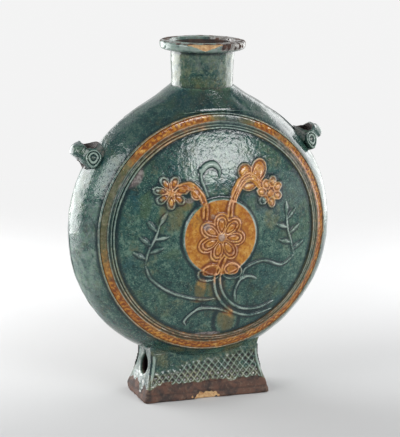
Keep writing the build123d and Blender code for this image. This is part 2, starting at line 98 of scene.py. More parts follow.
def waves(points, size, seed, count=14):
    """Uneven hand-made variation, about -1 to 1, from waves in all directions."""
    source = np.random.default_rng(seed)
    total = np.zeros(points.shape[:-1])
    for _ in range(count):
        direction = unit(source.normal(size=3))
        pitch = 2.0 * math.pi / (size * source.uniform(0.6, 1.7))
        total += np.sin(points @ direction * pitch + source.uniform(0.0, 2.0 * math.pi))
    return total / math.sqrt(count)


def soften(field, spread):
    """A field blurred over a spread in grid steps."""
    reach = int(3 * spread + 1)
    offsets = np.arange(-reach, reach + 1)
    weights = np.exp(-0.5 * (offsets / spread) ** 2)
    weights /= weights.sum()
    padded = np.pad(field, reach, mode="edge")
    rows = sum(w * padded[reach + o:padded.shape[0] - reach + o, :] for o, w in zip(offsets, weights))
    return sum(w * rows[:, reach + o:rows.shape[1] - reach + o] for o, w in zip(offsets, weights))


def ridge(away, half_width, height):
    """A rounded ridge across a distance."""
    return height * np.sqrt(np.clip(1.0 - (away / half_width) ** 2, 0.0, 1.0))


def lines_over(share, lines):
    """The strongest of several thin lines, each a place, a half width and a strength."""
    return np.max([ridge(share - place, half, strength) for place, half, strength in lines], axis=0)


def curve_points(places, spacing=0.8):
    """Points along a smooth curve through places, Catmull-Rom."""
    places = np.array(places, float)
    ends = np.vstack([2 * places[0] - places[1], places, 2 * places[-1] - places[-2]])
    run = []
    for a, b, c, d in zip(ends, ends[1:], ends[2:], ends[3:]):
        count = max(2, int(np.linalg.norm(c - b) / spacing))
        t = np.linspace(0.0, 1.0, count, endpoint=False)[:, None]
        run.append(0.5 * (2 * b + (c - a) * t + (2 * a - 5 * b + 4 * c - d) * t**2
                          + (3 * b - a - 3 * c + d) * t**3))
    return np.vstack(run + [places[-1:]])


def full_turn(steps):
    """Evenly spaced angles once round."""
    return np.linspace(0.0, 2.0 * math.pi, steps, endpoint=False)


def reach_round_body(points):
    """Distance of points from the level axis through the body."""
    return np.hypot(points[..., 0], points[..., 2] - body_centre)


def reach_round_neck(points):
    """Distance of points from the upright axis."""
    return np.hypot(points[..., 0], points[..., 1])


def level_out(points):
    """Level directions away from the upright axis."""
    return unit(points * np.array([1.0, 1.0, 0.0]))


def turned_round(points):
    """The same points turned half a turn about the upright axis."""
    return points * np.array([-1.0, -1.0, 1.0])


# Glaze and clay


def tone(red, green, blue):
    """A screen colour from 0 to 255 as the linear colour that a shader takes."""
    values = np.array([red, green, blue]) / 255.0
    return tuple(np.where(values <= 0.04045, values / 12.92, ((values + 0.055) / 1.055) ** 2.4)) + (1.0,)


screen_tones = {
    "deep_teal": (18, 46, 48), "mid_teal": (42, 80, 74), "light_teal": (92, 122, 106),
    "olive_teal": (74, 96, 66), "pale_teal": (122, 146, 132), "pool_teal": (10, 32, 40),
    "blue_teal": (22, 72, 86), "brown_teal": (84, 82, 60), "crest_teal": (152, 170, 160),
    "rust": (104, 92, 72), "olive": (112, 98, 54), "pale_grey": (170, 178, 176),
    "deep_amber": (158, 92, 28), "mid_amber": (190, 134, 50), "light_amber": (206, 160, 84),
    "red_brown": (128, 54, 24), "pool_amber": (104, 44, 22), "crest_amber": (222, 168, 128),
    "mist": (160, 150, 146), "mist_dark": (104, 92, 90), "painted_shade": (30, 24, 22),
    "clay": (92, 62, 48), "clay_dark": (44, 33, 30), "clay_light": (108, 88, 72),
    "buff": (206, 172, 126), "buff_dark": (170, 128, 88),
}
tones = {name: tone(*screen) for name, screen in screen_tones.items()}

# Noises: size in millimetres, detail, roughness, warp and seed
noises = {
    "broad": (34.0, 3.0, 0.55, 0.6, 1.0), "middle": (9.0, 4.0, 0.6, 0.8, 2.0),
    "small": (2.6, 3.0, 0.6, 0.3, 3.0), "grain": (0.9, 2.0, 0.6, 0.0, 4.0),
    "green": (22.0, 3.0, 0.6, 0.7, 6.0), "pits": (1.5, 2.0, 0.5, 0.0, 7.0),
    "rust": (4.2, 4.0, 0.65, 0.4, 8.0), "gold": (5.0, 3.0, 0.6, 0.3, 9.0),
    "dots": (1.7, 3.0, 0.65, 0.2, 10.0), "waver": (4.6, 3.0, 0.5, 0.2, 11.0),
    "ripple": (1.5, 2.0, 0.5, 0.0, 12.0), "blue": (26.0, 4.0, 0.6, 0.8, 13.0),
    "brown": (18.0, 4.0, 0.65, 0.8, 14.0),
}
flow_noise = (7.0, 3.0, 0.55, 0.5, 5.0)
flow_stretch = (1.0, 1.0, 0.28)

# Mixed noises, and how they wander about their middle: noises and their weights
mottle_weights = {"broad": 0.24, "middle": 0.26, "small": 0.26, "flow": 0.10, "grain": 0.14}
honey_weights = {"middle": 0.5, "small": 0.5}
amber_wander = {"middle": 0.55, "small": 0.35}
wear_wander = {"small": 0.7, "middle": 0.5}

# Spots, each laid over those before: noise, where it starts and is full, strength, tone, and
# where the small noise breaks it up, if it does
teal_spots = [
    ("mottle", 0.40, 0.50, 1.0, "mid_teal", None), ("mottle", 0.49, 0.58, 1.0, "light_teal", None),
    ("green", 0.50, 0.66, 0.55, "olive_teal", None), ("grain", 0.56, 0.66, 0.56, "pale_teal", None),
    ("pits", 0.58, 0.68, 0.74, "pool_teal", None), ("rust", 0.60, 0.74, 0.42, "rust", None),
    ("blue", 0.52, 0.66, 0.45, "blue_teal", (0.40, 0.60)),
    ("brown", 0.53, 0.68, 0.62, "brown_teal", (0.38, 0.60)),
]
honey_spots = [
    ("honey", 0.40, 0.60, 1.0, "mid_amber", None), ("gold", 0.50, 0.70, 1.0, "light_amber", None),
    ("dots", 0.56, 0.68, 0.55, "red_brown", None),
]
clay_spots = [
    ("middle", 0.38, 0.62, 1.0, "clay", None), ("small", 0.52, 0.68, 0.65, "clay_light", None),
    ("grain", 0.56, 0.70, 0.5, "clay_dark", None),
]
olive_share = 0.58

# Coats that marks lay over the glaze: mark, the noise that breaks it up and the mark's weight
# beside it, where it starts and is full, its two tones, what turns one to the other, and where
coats = [
    # The pale coat: paler glaze, and on the flank's left and the foot's ends a painted sheen
    ("pale", "middle", 0.35, 0.42, 0.74, "pale_grey", "pale_teal", "small", 0.40, 0.62),
    # The pool coat darkens hollows, grooves, creases and junctions: partly pooled glaze, partly painted shade
    ("pool", "small", 0.5, 0.45, 0.85, "pool_teal", "pool_amber", "amber", 0.30, 0.70),
    # The crest coat pales ridge tops and edges: partly thinned glaze, partly painted highlight
    ("crest", "small", 0.5, 0.55, 0.95, "crest_teal", "crest_amber", "amber", 0.30, 0.70),
    # The mist coat: grey-mauve glaze, and on the ring's upper right a painted glare and on the foot's ends
    # part of a painted sheen
    ("mist", "small", 1.0, 0.70, 1.15, "mist_dark", "mist", "small", 0.38, 0.62),
]
coat_strength = 0.85
# Strength of the dark mark, a near-black painted shade in holes, hollows, grooves and insides
painted_shade_strength = 0.88
chip_wander = 0.7

# Gloss, and the height of the fine unevenness in metres
glaze_rough = 0.10
clay_rough = 0.72
rough_wander = {"middle": 0.10}
mist_rough = 0.16
chip_rough = 0.5
least_rough = 0.06
glaze_wave = 0.00044
glaze_ripple = 0.00008
glaze_pit = 0.00006
clay_grain = 0.00012
glaze_ior = 1.52


class Shading:
    """Adds nodes to a material and joins them."""

    def __init__(self, name):
        self.material = bpy.data.materials.new(name)
        self.material.use_nodes = True
        self.tree = self.material.node_tree
        self.tree.nodes.clear()

    def add(self, kind, inputs=None, **settings):
        """A node with its inputs set or joined."""
        node = self.tree.nodes.new("ShaderNode" + kind)
        for key, value in settings.items():
            setattr(node, key, value)
        for key, value in (inputs or {}).items():
            if isinstance(value, bpy.types.NodeSocket):
                self.tree.links.new(value, node.inputs[key])
            else:
                node.inputs[key].default_value = value
        return node

    def math(self, operation, *values):
        """One sum on values."""
        return self.add("Math", dict(enumerate(values)), operation=operation).outputs[0]

    def times(self, first, second):
        """A product."""
        return self.math("MULTIPLY", first, second)

    def plus(self, first, second):
        """A sum."""
        return self.math("ADD", first, second)

    def weighted(self, fields, weights, middle=0.0):
        """The sum of named fields, each less a middle value and times its weight."""
        total = None
        for name, weight in weights.items():
            value = self.math("SUBTRACT", fields[name], middle) if middle else fields[name]
            value = self.times(value, weight)
            total = value if total is None else self.plus(total, value)
        return total

    def ramp(self, value, low, high):
        """A smooth turn from 0 to 1 as a value passes from low to high."""
        node = self.add("MapRange", {"Value": value, "From Min": low, "From Max": high},
                        interpolation_type="SMOOTHSTEP")
        return node.outputs["Result"]

    def mix(self, share, first, second):
        """A colour between two others."""
        return self.add("Mix", {0: share, 6: first, 7: second}, data_type="RGBA").outputs[2]

    def noise(self, place, size, detail, rough, warp, seed):
        """Noise whose blobs are about that size in millimetres."""
        node = self.add("TexNoise", {"Vector": place, "W": seed, "Scale": 1.0 / size, "Detail": detail,
                                     "Roughness": rough, "Distortion": warp}, noise_dimensions="4D")
        return node.outputs["Fac"]

    def spotted(self, base, fields, spots):
        """A tone with spots of other tones over it."""
        for name, low, high, strength, spot_tone, breakup in spots:
            share = self.times(self.ramp(fields[name], low, high), strength)
            if breakup:
                share = self.times(share, self.ramp(fields["small"], *breakup))
            base = self.mix(share, base, tones[spot_tone])
        return base

    def finish(self, shader):
        """Join a shader to the output, and give the material."""
        output = self.add("OutputMaterial")
        self.tree.links.new(shader.outputs[0], output.inputs["Surface"])
        return self.material


# Marks that the glaze reads, in two colour layers of each mesh
# The dark mark is painted shade: near-black in holes, hollows, grooves and insides
mark_layers = {"glaze": ("amber", "crest", "pool", "pale"), "wear": ("bare", "chip", "dark", "mist")}


def make_marks(count, **parts):
    """The two colour layers of marks, from named parts."""
    marks = {}
    for layer, names in mark_layers.items():
        values = np.zeros((count, 4))
        for column, name in enumerate(names):
            values[:, column] = np.clip(np.ravel(parts.get(name, 0.0)), 0.0, 1.0)
        marks[layer] = values
    return marks


def read_marks(s):
    """The marks of a mesh as values in its material."""
    marks = {}
    for layer, names in mark_layers.items():
        colour = s.add("VertexColor", layer_name=layer).outputs
        parts = s.add("SeparateColor", {"Color": colour["Color"]}).outputs
        marks.update(zip(names, (parts[0], parts[1], parts[2], colour["Alpha"])))
    return marks


def build_glaze(name):
    """Mottled glaze over clay, guided by the marks of each mesh."""
    s = Shading(name)
    place = s.add("VectorMath", {0: s.add("TexCoord").outputs["Object"], "Scale": 1.0 / MM},
                  operation="SCALE").outputs["Vector"]
    marks = read_marks(s)
    fields = {label: s.noise(place, *values) for label, values in noises.items()}
    flowing = s.add("Mapping", {"Vector": place, "Scale": flow_stretch}).outputs["Vector"]
    fields["flow"] = s.noise(flowing, *flow_noise)
    fields["mottle"] = s.weighted(fields, mottle_weights)
    fields["honey"] = s.weighted(fields, honey_weights)

    teal = s.spotted(tones["deep_teal"], fields, teal_spots)
    honey = s.spotted(tones["deep_amber"], fields, honey_spots)
    wander = s.weighted(fields, amber_wander, 0.5)
    amber = s.plus(marks["amber"], s.times(wander, s.ramp(marks["amber"], 0.02, 0.2)))
    body = s.mix(s.ramp(amber, 0.10, 0.44), teal, s.mix(olive_share, teal, tones["olive"]))
    body = s.mix(s.ramp(amber, 0.42, 0.80), body, honey)

    fields["amber"] = amber
    laid = {}
    for mark, breakup, weight, low, high, first, second, turner, start, end in coats:
        noisy = s.plus(fields[breakup], s.times(marks[mark], weight))
        laid[mark] = s.times(marks[mark], s.ramp(noisy, low, high))
        coat = s.mix(s.ramp(fields[turner], start, end), tones[first], tones[second])
        body = s.mix(s.times(laid[mark], coat_strength), body, coat)

    ragged = s.weighted(fields, wear_wander, 0.5)
    bare = s.ramp(s.plus(marks["bare"], ragged), 0.40, 0.62)
    body = s.mix(bare, body, s.spotted(tones["clay_dark"], fields, clay_spots))
    chip = s.ramp(s.plus(marks["chip"], s.times(ragged, chip_wander)), 0.40, 0.58)
    body = s.mix(chip, body, s.mix(s.ramp(fields["small"], 0.40, 0.66), tones["buff"], tones["buff_dark"]))
    # Painted shade: the dark mark turns the colour near-black
    body = s.mix(s.times(marks["dark"], painted_shade_strength), body, tones["painted_shade"])

    rough = s.add("Mix", {0: bare, 2: glaze_rough, 3: clay_rough}, data_type="FLOAT").outputs[0]
    rough = s.plus(rough, s.weighted(fields, rough_wander, 0.5))
    rough = s.plus(rough, s.times(laid["mist"], mist_rough))
    rough = s.math("MAXIMUM", s.plus(rough, s.times(chip, chip_rough)), least_rough)

    rise = s.weighted(fields, {"waver": glaze_wave, "ripple": glaze_ripple})
    rise = s.math("SUBTRACT", rise, s.times(s.ramp(fields["pits"], 0.58, 0.68), glaze_pit))
    rise = s.plus(rise, s.times(s.times(bare, fields["grain"]), clay_grain))
    bump = s.add("Bump", {"Height": rise, "Distance": 1.0, "Strength": 1.0})
    return s.finish(s.add("BsdfPrincipled", {"Base Color": body, "Roughness": rough, "IOR": glaze_ior,
                                             "Normal": bump.outputs["Normal"]}))


materials = {name: build_glaze(name) for name in ("teal_glaze", "amber_glaze", "worn_clay")}


# Meshes, each a tuple of points, quads, marks and normals


def add_piece(name, nodes, slot, points, quads, marks, normals):
    """A piece with its finish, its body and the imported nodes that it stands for."""
    mesh = bpy.data.meshes.new(name)
    mesh.from_pydata((points * MM).tolist(), [], quads.tolist())
    for label, values in marks.items():
        layer = mesh.color_attributes.new(label, "FLOAT_COLOR", "POINT")
        layer.data.foreach_set("color", values.astype(np.float32).ravel())
    mesh.shade_smooth()
    mesh.normals_split_custom_set_from_vertices(unit(normals).tolist())
    piece = bpy.data.objects.new(name, mesh)
    bpy.context.scene.collection.objects.link(piece)
    mesh.materials.append(materials[slot])
    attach(piece, "root")
    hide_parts(*nodes)


def add_pair(node_name, slot, points, quads, marks, normals):
    """A front piece and the same turned to the back, with {} in the name for the half."""
    for half in ("front", "back"):
        node = node_name.format(half)
        add_piece("looks_" + node, [node], slot, points, quads, marks, normals)
        points, normals = turned_round(points), turned_round(normals)


def joined(*meshes):
    """Several meshes as one."""
    starts = np.cumsum([0] + [len(mesh[0]) for mesh in meshes])
    points, normals = (np.concatenate([mesh[k] for mesh in meshes]) for k in (0, 3))
    quads = np.concatenate([mesh[1] + start for mesh, start in zip(meshes, starts)])
    marks = {layer: np.concatenate([mesh[2][layer] for mesh in meshes]) for layer in mark_layers}
    return points, quads, marks, normals


def compact(points, quads, marks, normals):
    """A mesh without the points that no quad uses."""
    used, quads = np.unique(quads, return_inverse=True)
    marks = {layer: values[used] for layer, values in marks.items()}
    return points[used], quads.reshape(-1, 4), marks, normals[used]


def plate(top, under, cells, normals, marks, closed=True):
    """Quads over the chosen cells of a grid, with walls down to an under side."""
    rows, columns = cells.shape
    ids = np.arange((rows + 1) * (columns + 1)).reshape(rows + 1, columns + 1)
    corners = (ids[:-1, :-1], ids[:-1, 1:], ids[1:, 1:], ids[1:, :-1])
    quads = [np.stack(corners, -1)[cells]]
    if closed:
        quads.append(quads[0][:, ::-1] + ids.size)
    ring = np.pad(cells, 1)
    beside = (ring[:-2, 1:-1], ring[1:-1, 2:], ring[2:, 1:-1], ring[1:-1, :-2])
    for side, neighbour in enumerate(beside):
        edge = cells & ~neighbour
        start, end = corners[side][edge], corners[(side + 1) % 4][edge]
        quads.append(np.stack([end, start, start + ids.size, end + ids.size], -1))
    points = np.concatenate([top.reshape(-1, 3), under.reshape(-1, 3)])
    normals = np.concatenate([normals.reshape(-1, 3)] * 2)
    marks = {layer: np.concatenate([values] * 2) for layer, values in marks.items()}
    return compact(points, np.concatenate(quads), marks, normals)


def turned_quads(rows, steps):
    """Quads of a grid whose rows close on themselves."""
    ids = np.arange(rows * steps).reshape(rows, steps)
    after = np.roll(ids, -1, axis=1)
    return np.stack([ids[:-1], after[:-1], after[1:], ids[1:]], -1).reshape(-1, 4)


def mesh_normals(points, quads):
    """Smooth normals of a mesh, from the areas of its quads."""
    a, b, c, d = (points[quads[:, k]] for k in range(4))
    faces = np.cross(c - a, d - b)
    total = np.zeros_like(points)
    for k in range(4):
        np.add.at(total, quads[:, k], faces)
    return unit(total)


def facing_out(points, quads):
    """The quads of a closed mesh, turned to face outward."""
    a, b, c, d = (points[quads[:, k]] for k in range(4))
    volume = np.einsum("ij,ij->", a, np.cross(b, c) + np.cross(c, d))
    return quads[:, ::-1] if volume < 0 else quads


def closed_mesh(points, quads, marks, normals):
    """A closed mesh whose quads and normals face outward."""
    quads = facing_out(points, quads)
    inward = np.median(np.einsum("ij,ij->i", mesh_normals(points, quads), normals)) < 0
    return points, quads, marks, -normals if inward else normals


def grid_mesh(grid, marks):
    """The mesh of a turned grid, rows open and columns closed."""
    down = np.gradient(grid, axis=0, edge_order=2 if len(grid) > 2 else 1)
    along = np.roll(grid, -1, axis=1) - np.roll(grid, 1, axis=1)
    normals = unit(np.cross(down, along))
    return grid.reshape(-1, 3), turned_quads(*grid.shape[:2]), marks, normals.reshape(-1, 3)


def turned_blocks(blocks, steps, axis, shape, mark):
    """A closed turned body. Each block is a smooth run of its profile, with sharp corners between."""
    meshes = []
    for block in blocks:
        reach, along = (np.array(block, float)[:, k][:, None] for k in (0, 1))
        angle = full_turn(steps)
        grid = [reach * np.cos(angle), along + 0 * angle, reach * np.sin(angle)]
        if axis == "z":
            grid = [grid[0], grid[2], grid[1]]
        else:
            grid[2] = grid[2] + body_centre
        grid = np.stack(grid, -1)
        meshes.append(grid_mesh(shape(grid), mark(grid.reshape(-1, 3))))
    return closed_mesh(*joined(*meshes))


def field_places(low, high, step):
    """Places of a field's grid between two corners."""
    axes = [start + step * np.arange(int((end - start) / step) + 1) for start, end in zip(low, high)]
    return np.stack(np.meshgrid(*axes, indexing="ij"), -1)


def surface_net(field, origin, step):
    """Points, quads and normals of the surface where a field is zero."""
    inside = field < 0
    cells = np.array(field.shape) - 1
    total = np.zeros(tuple(cells) + (3,))
    count = np.zeros(tuple(cells))
    crossings = []
    for axis in range(3):
        low = [slice(None)] * 3
        high = [slice(None)] * 3
        low[axis], high[axis] = slice(0, -1), slice(1, None)
        a, b = field[tuple(low)], field[tuple(high)]
        cross = inside[tuple(low)] != inside[tuple(high)]
        share = np.where(cross, a / np.where(cross, a - b, 1.0), 0.0)
        places = np.stack(np.meshgrid(*[np.arange(s) for s in cross.shape], indexing="ij"), -1).astype(float)
        places[..., axis] += share
        others = [k for k in range(3) if k != axis]
        for i in (0, 1):
            for j in (0, 1):
                part = [slice(None)] * 3
                part[others[0]] = slice(i, cross.shape[others[0]] - 1 + i)
                part[others[1]] = slice(j, cross.shape[others[1]] - 1 + j)
                total += places[tuple(part)] * cross[tuple(part)][..., None]
                count += cross[tuple(part)]
        crossings.append((axis, others, cross, inside[tuple(low)]))
    used = count > 0
    ids = np.full(tuple(cells), -1)
    ids[used] = np.arange(used.sum())
    points = total[used] / count[used][:, None] * step + origin
    quads = []
    for axis, others, cross, starts in crossings:
        where = np.argwhere(cross)
        keep = (where[:, others[0]] > 0) & (where[:, others[1]] > 0)
        keep &= (where[:, others[0]] < cells[others[0]]) & (where[:, others[1]] < cells[others[1]])
        where = where[keep]
        ring = []
        for i, j in ((1, 1), (0, 1), (0, 0), (1, 0)):
            cell = where.copy()
            cell[:, others[0]] -= i
            cell[:, others[1]] -= j
            ring.append(ids[tuple(cell.T)])
        ring = np.stack(ring, -1)
        flip = starts[tuple(where.T)] == (axis != 1)
        ring[~flip] = ring[~flip][:, ::-1]
        quads.append(ring)
    slopes = np.stack(np.gradient(field, step), -1)
    mean = sum(slopes[i:i + cells[0], j:j + cells[1], k:k + cells[2]]
               for i in (0, 1) for j in (0, 1) for k in (0, 1))
    quads = np.concatenate(quads)
    return points, facing_out(points, quads), unit(mean[used])


def blend_low(a, b, spread):
    """The lower of two distances, rounded where they meet."""
    share = np.maximum(spread - np.abs(a - b), 0.0) / spread
    return np.minimum(a, b) - share * share * spread / 4


def blend_high(a, b, spread):
    """The higher of two distances, rounded where they meet."""
    return -blend_low(-a, -b, spread)


def outline_distance(x, y, corners):
    """Distance to a closed outline, negative inside."""
    corners = np.array(corners, float)
    best = np.full(x.shape, 1e9)
    odd = np.zeros(x.shape, bool)
    for (ax, ay), (bx, by) in zip(corners, np.roll(corners, -1, axis=0)):
        run, rise = bx - ax, by - ay
        t = np.clip(((x - ax) * run + (y - ay) * rise) / (run * run + rise * rise), 0.0, 1.0)
        best = np.minimum(best, (x - ax - t * run) ** 2 + (y - ay - t * rise) ** 2)
        if ay != by:
            odd ^= ((ay > y) != (by > y)) & (x < (y - ay) * run / rise + ax)
    return np.where(odd, -1.0, 1.0) * np.sqrt(best)


# Body surfaces

flank_middle = (1 + ring_outer_radius / body_radius) / 2
ring_outer_depth = flank_reach * math.sqrt(1 - (ring_outer_radius / body_radius) ** 2)
ring_inner_depth = math.sqrt(dome_radius**2 - panel_radius**2) - dome_centre
ring_run = ring_outer_radius - panel_radius
ring_drop = ring_inner_depth - ring_outer_depth


def arc_through(a, b, c):
    """Centre and radius of a circle through three points."""
    rows = np.array([[b[0] - a[0], b[1] - a[1]], [c[0] - a[0], c[1] - a[1]]]) * 2
    sums = np.array([b[0]**2 + b[1]**2 - a[0]**2 - a[1]**2, c[0]**2 + c[1]**2 - a[0]**2 - a[1]**2])
    centre = np.linalg.solve(rows, sums)
    return centre, math.dist(centre, a)


flank_arc_centre, flank_arc_radius = arc_through(
    (ring_outer_radius, ring_outer_depth),
    (body_radius * flank_middle, flank_reach * math.sqrt(1 - flank_middle**2)),
    (body_radius, 0.0),
)


def flank_radius_at(depth):
    """Radius of the body's flank at a depth from the middle plane."""
    return flank_arc_centre[0] + np.sqrt(flank_arc_radius**2 - (np.abs(depth) - flank_arc_centre[1]) ** 2)


def flank_normal(points):
    """Outward normal of the plain flank at points on it."""
    out = points - body_middle
    reach = np.hypot(out[..., 0], out[..., 2])
    return unit(np.stack([(reach - flank_arc_centre[0]) * out[..., 0] / reach,
                          np.sign(points[..., 1]) * (np.abs(points[..., 1]) - flank_arc_centre[1]),
                          (reach - flank_arc_centre[0]) * out[..., 2] / reach], -1))


def dome_at(x, y):
    """Depth of the panel's dome at a place."""
    return np.sqrt(dome_radius**2 - x * x - y * y) - dome_centre


def body_wobble(points):
    """Inward offset of the hand-made flank, none beside the rings."""
    fade = smooth(ring_outer_depth - 0.5, ring_outer_depth - 9.0, np.abs(points[..., 1]))
    uneven = 0.45 * waves(points, 95.0, 4) + 0.16 * waves(points, 21.0, 5) + 0.05 * waves(points, 7.0, 6)
    return fade * np.clip(0.55 + uneven, 0.0, 2.0)


def body_point(x, y):
    """Point on the upper flank over a place in plan."""
    reach = flank_radius_at(y)
    return np.stack([x, y, body_centre + np.sqrt(np.maximum(reach**2 - x * x, 1.0))], -1)


# Panel relief, drawn as heights over a grid on the panel

grid_half_count = int(grid_reach / grid_step)
grid_line = np.arange(-grid_half_count, grid_half_count + 1) * grid_step
grid_x, grid_y = np.meshgrid(grid_line, grid_line)


def away_from(centre):
    """Distance of each grid point from a centre."""
    return np.hypot(grid_x - centre[0], grid_y - centre[1])


def turned_grid(centre, turn):
    """Grid places from a centre, along a direction in degrees and across it."""
    c, s = math.cos(math.radians(turn)), math.sin(math.radians(turn))
    x, y = grid_x - centre[0], grid_y - centre[1]
    return x * c + y * s, y * c - x * s


def on_panel(shares):
    """Places given as shares of the panel's radius, in millimetres."""
    return [(x * panel_radius, y * panel_radius) for x, y in shares]


def along_from(centre, distance, direction):
    """The place at a distance from a centre in a direction in degrees."""
    angle = math.radians(direction)
    return centre[0] + distance * math.cos(angle), centre[1] + distance * math.sin(angle)


def curve_distance(places, around):
    """Distance of near grid points to a curve, and the share of the way along it."""
    run = curve_points(places)
    steps = np.concatenate([[0.0], np.cumsum(np.linalg.norm(np.diff(run, axis=0), axis=1))])
    low = np.searchsorted(grid_line, run.min(0) - around)
    high = np.searchsorted(grid_line, run.max(0) + around)
    part = (slice(low[1], high[1]), slice(low[0], high[0]))
    x, y = grid_x[part], grid_y[part]
    best = np.full(x.shape, 1e6)
    share = np.zeros(x.shape)
    for (ax, ay), (bx, by), start, end in zip(run, run[1:], steps, steps[1:]):
        rise, climb = bx - ax, by - ay
        t = np.clip(((x - ax) * rise + (y - ay) * climb) / (rise * rise + climb * climb), 0.0, 1.0)
        away = np.hypot(x - ax - t * rise, y - ay - t * climb)
        nearer = away < best
        best = np.where(nearer, away, best)
        share = np.where(nearer, (start + t * (end - start)) / steps[-1], share)
    return part, best, share


def draw_curves(paths, half_width, height, start_taper=0.0, end_taper=0.0):
    """Ridges along paths, thinner towards an end if asked."""
    field = np.zeros_like(grid_x)
    for path in paths:
        part, away, share = curve_distance(on_panel(path), half_width + 1.0)
        width = np.full(share.shape, half_width)
        if start_taper:
            width *= 0.45 + 0.55 * smooth(0.0, start_taper, share)
        if end_taper:
            width *= 0.4 + 0.6 * smooth(0.0, end_taper, 1.0 - share)
        rounded = ridge(away, width, 1.0) * height * np.sqrt(width / half_width)
        field[part] = np.maximum(field[part], rounded)
    return field


def oval_inset(centre, across, up, turn=0.0):
    """How far inside an oval each grid point is, negative outside."""
    u, v = turned_grid(centre, turn)
    return (1.0 - np.hypot(u / across, v / up)) * min(across, up)


def lens_inset(centre, length, half_width, turn):
    """How far inside a pointed leaf each grid point is, and how far from its middle line."""
    u, v = turned_grid(centre, turn)
    v = np.abs(v)
    bow = ((length / 2) ** 2 + half_width**2) / (2 * half_width)
    return bow - np.hypot(u, v + bow - half_width), v


def petal_inset(centre, direction, reach, root, half_width, narrow):
    """How far inside a petal each grid point is, and its share of the way out."""
    u, v = turned_grid(centre, direction)
    out = np.clip((u - root) / (reach - root), 0.0, 1.0)
    width = half_width * (narrow + (1.0 - narrow) * out**0.8)
    half = (reach - root) / 2
    return (1.0 - np.hypot((u - root - half) / half, v / width)) * half_width, out


def outlined(inset, edge, edge_height, fill_from, fill_to, fill_height):
    """A pressed shape: a raised line inside its edge and a domed middle."""
    rim = ridge(np.abs(inset - edge), edge, edge_height)
    fill = fill_height * np.sqrt(smooth(fill_from, fill_to, inset))
    return np.where(inset > 0, np.maximum(rim, fill), 0.0)


disc_centre = (-1.5, 0.0)
disc_radius = 32.0
disc_rise = 1.2
disc_line = (31.0, 0.9, 0.42)
left_flower_centre = (-42.5, 38.0)
right_flower_centre = (43.5, 33.0)

# Directions of the petals, in degrees, and how far each one reaches, in millimetres
middle_petals = [(90, 17.6), (42, 18.6), (-4, 18.4), (-56, 18.8), (-103, 18.0), (-155, 18.4), (147, 17.4)]
left_petals = [(8, 15.0), (68, 13.6), (120, 14.2), (171, 15.0), (215, 14.2), (268, 14.0), (320, 13.8)]
right_petals = [(217, 12.9), (167, 13.1), (114, 13.1), (75, 14.6), (34, 13.4), (-17, 11.8), (-82, 12.3)]

# Petals: where the root starts, the half width, and the root's share of that width
calyx_petal = (2.0, 7.2, 0.75)
middle_petal = (2.6, 5.2, 0.42)
drop_petal = (1.8, 4.4, 0.36)
ball_petal = (1.6, 3.7, 0.4)
calyx_overhang = 2.7

# Reliefs: half width and height of the raised edge, where the domed middle starts and is full,
# counted inward, and its height
calyx_relief = (0.6, 1.05, 1.2, 2.2, 0.20)
middle_relief = (0.62, 1.6, 1.5, 3.4, 1.15)
drop_relief = (0.62, 1.5, 1.5, 3.0, 0.55)
ball_relief = (0.6, 1.05, 1.2, 2.4, 0.75)
bud_relief = (0.6, 1.2, 1.2, 2.6, 1.2)
fan_relief = (0.65, 1.35, 1.5, 4.0, 0.95)
near_relief = (0.6, 1.2, 1.4, 3.6, 0.9)
sepal_relief = (0.6, 1.5, 1.2, 3.6, 0.75)
sepal_edge_relief = (0.55, 1.15, 1.6, 3.4, 0.2)

# Beads in the drop petals and balls in the ball petals: inward from the tip, half width, height
drop_bead = (4.2, 1.5, 1.3)
ball_bead = (4.9, 2.6, 1.65)

# Raised edge of a ball: radius, half width and height, then where the ball ends and its stretch
ball_ring = (3.2, 0.75, 1.5)
ball_reach = 3.95
ball_stretch = 1.28

# Ovals: place, half sizes across and up, and turn in degrees
left_bud = ((-22.6, 36.2), 4.4, 5.4, 24)
fan_leaf = ((33.6, 52.6), 7.4, 9.8, -20)
fan_inner = ((32.6, 51.0), 4.4, 6.6, -20)
near_leaf = ((20.8, 52.6), 6.8, 6.2, 35)

# Sepals: place, half size across and turn in degrees
sepals = [((-9.2, -27.6), 8.0, 8), ((8.4, -27.0), 7.2, -10)]
sepal_half_height = 5.6

# Half widths and heights of the lines
stem_line = (1.1, 1.35)
branch_line = (0.95, 1.45)
fine_line = (0.95, 1.2)
curl_leaf_line = (2.3, 1.5)
spray_line = (0.85, 0.95)
spray_leaf_length = 13.0
spray_leaf_half_width = 1.95
band_height = 0.85

# Paths of the lines, in shares of the panel's radius
main_stem_shares = [
    [(-0.017, -0.197), (-0.064, -0.347), (-0.046, -0.521), (0.035, -0.660), (0.162, -0.764),
     (0.359, -0.822), (0.590, -0.782)],
    [(0.029, -0.208), (-0.010, -0.347), (0.012, -0.509), (0.104, -0.648), (0.243, -0.735),
     (0.428, -0.752), (0.602, -0.700)],
]
left_branch_shares = [
    [(-0.162, 0.185), (-0.158, 0.310), (-0.197, 0.417), (-0.300, 0.525), (-0.440, 0.500)],
    [(-0.195, 0.200), (-0.200, 0.330), (-0.278, 0.446), (-0.394, 0.475)],
]
right_branch_shares = [
    [(0.048, 0.200), (0.060, 0.280), (0.081, 0.348), (0.134, 0.449), (0.196, 0.542), (0.275, 0.586),
     (0.354, 0.554), (0.403, 0.500)],
    [(0.084, 0.200), (0.090, 0.280), (0.108, 0.340), (0.161, 0.449), (0.222, 0.534), (0.284, 0.560),
     (0.345, 0.534), (0.398, 0.475)],
    [(0.128, 0.331), (0.178, 0.441), (0.240, 0.510), (0.293, 0.532), (0.354, 0.503), (0.394, 0.457)],
]
left_band_shares = [(-0.175, 0.300), (-0.206, 0.400), (-0.285, 0.485), (-0.390, 0.490)]
right_band_shares = [(0.095, 0.330), (0.155, 0.445), (0.218, 0.527), (0.284, 0.556), (0.350, 0.528),
                     (0.400, 0.470)]
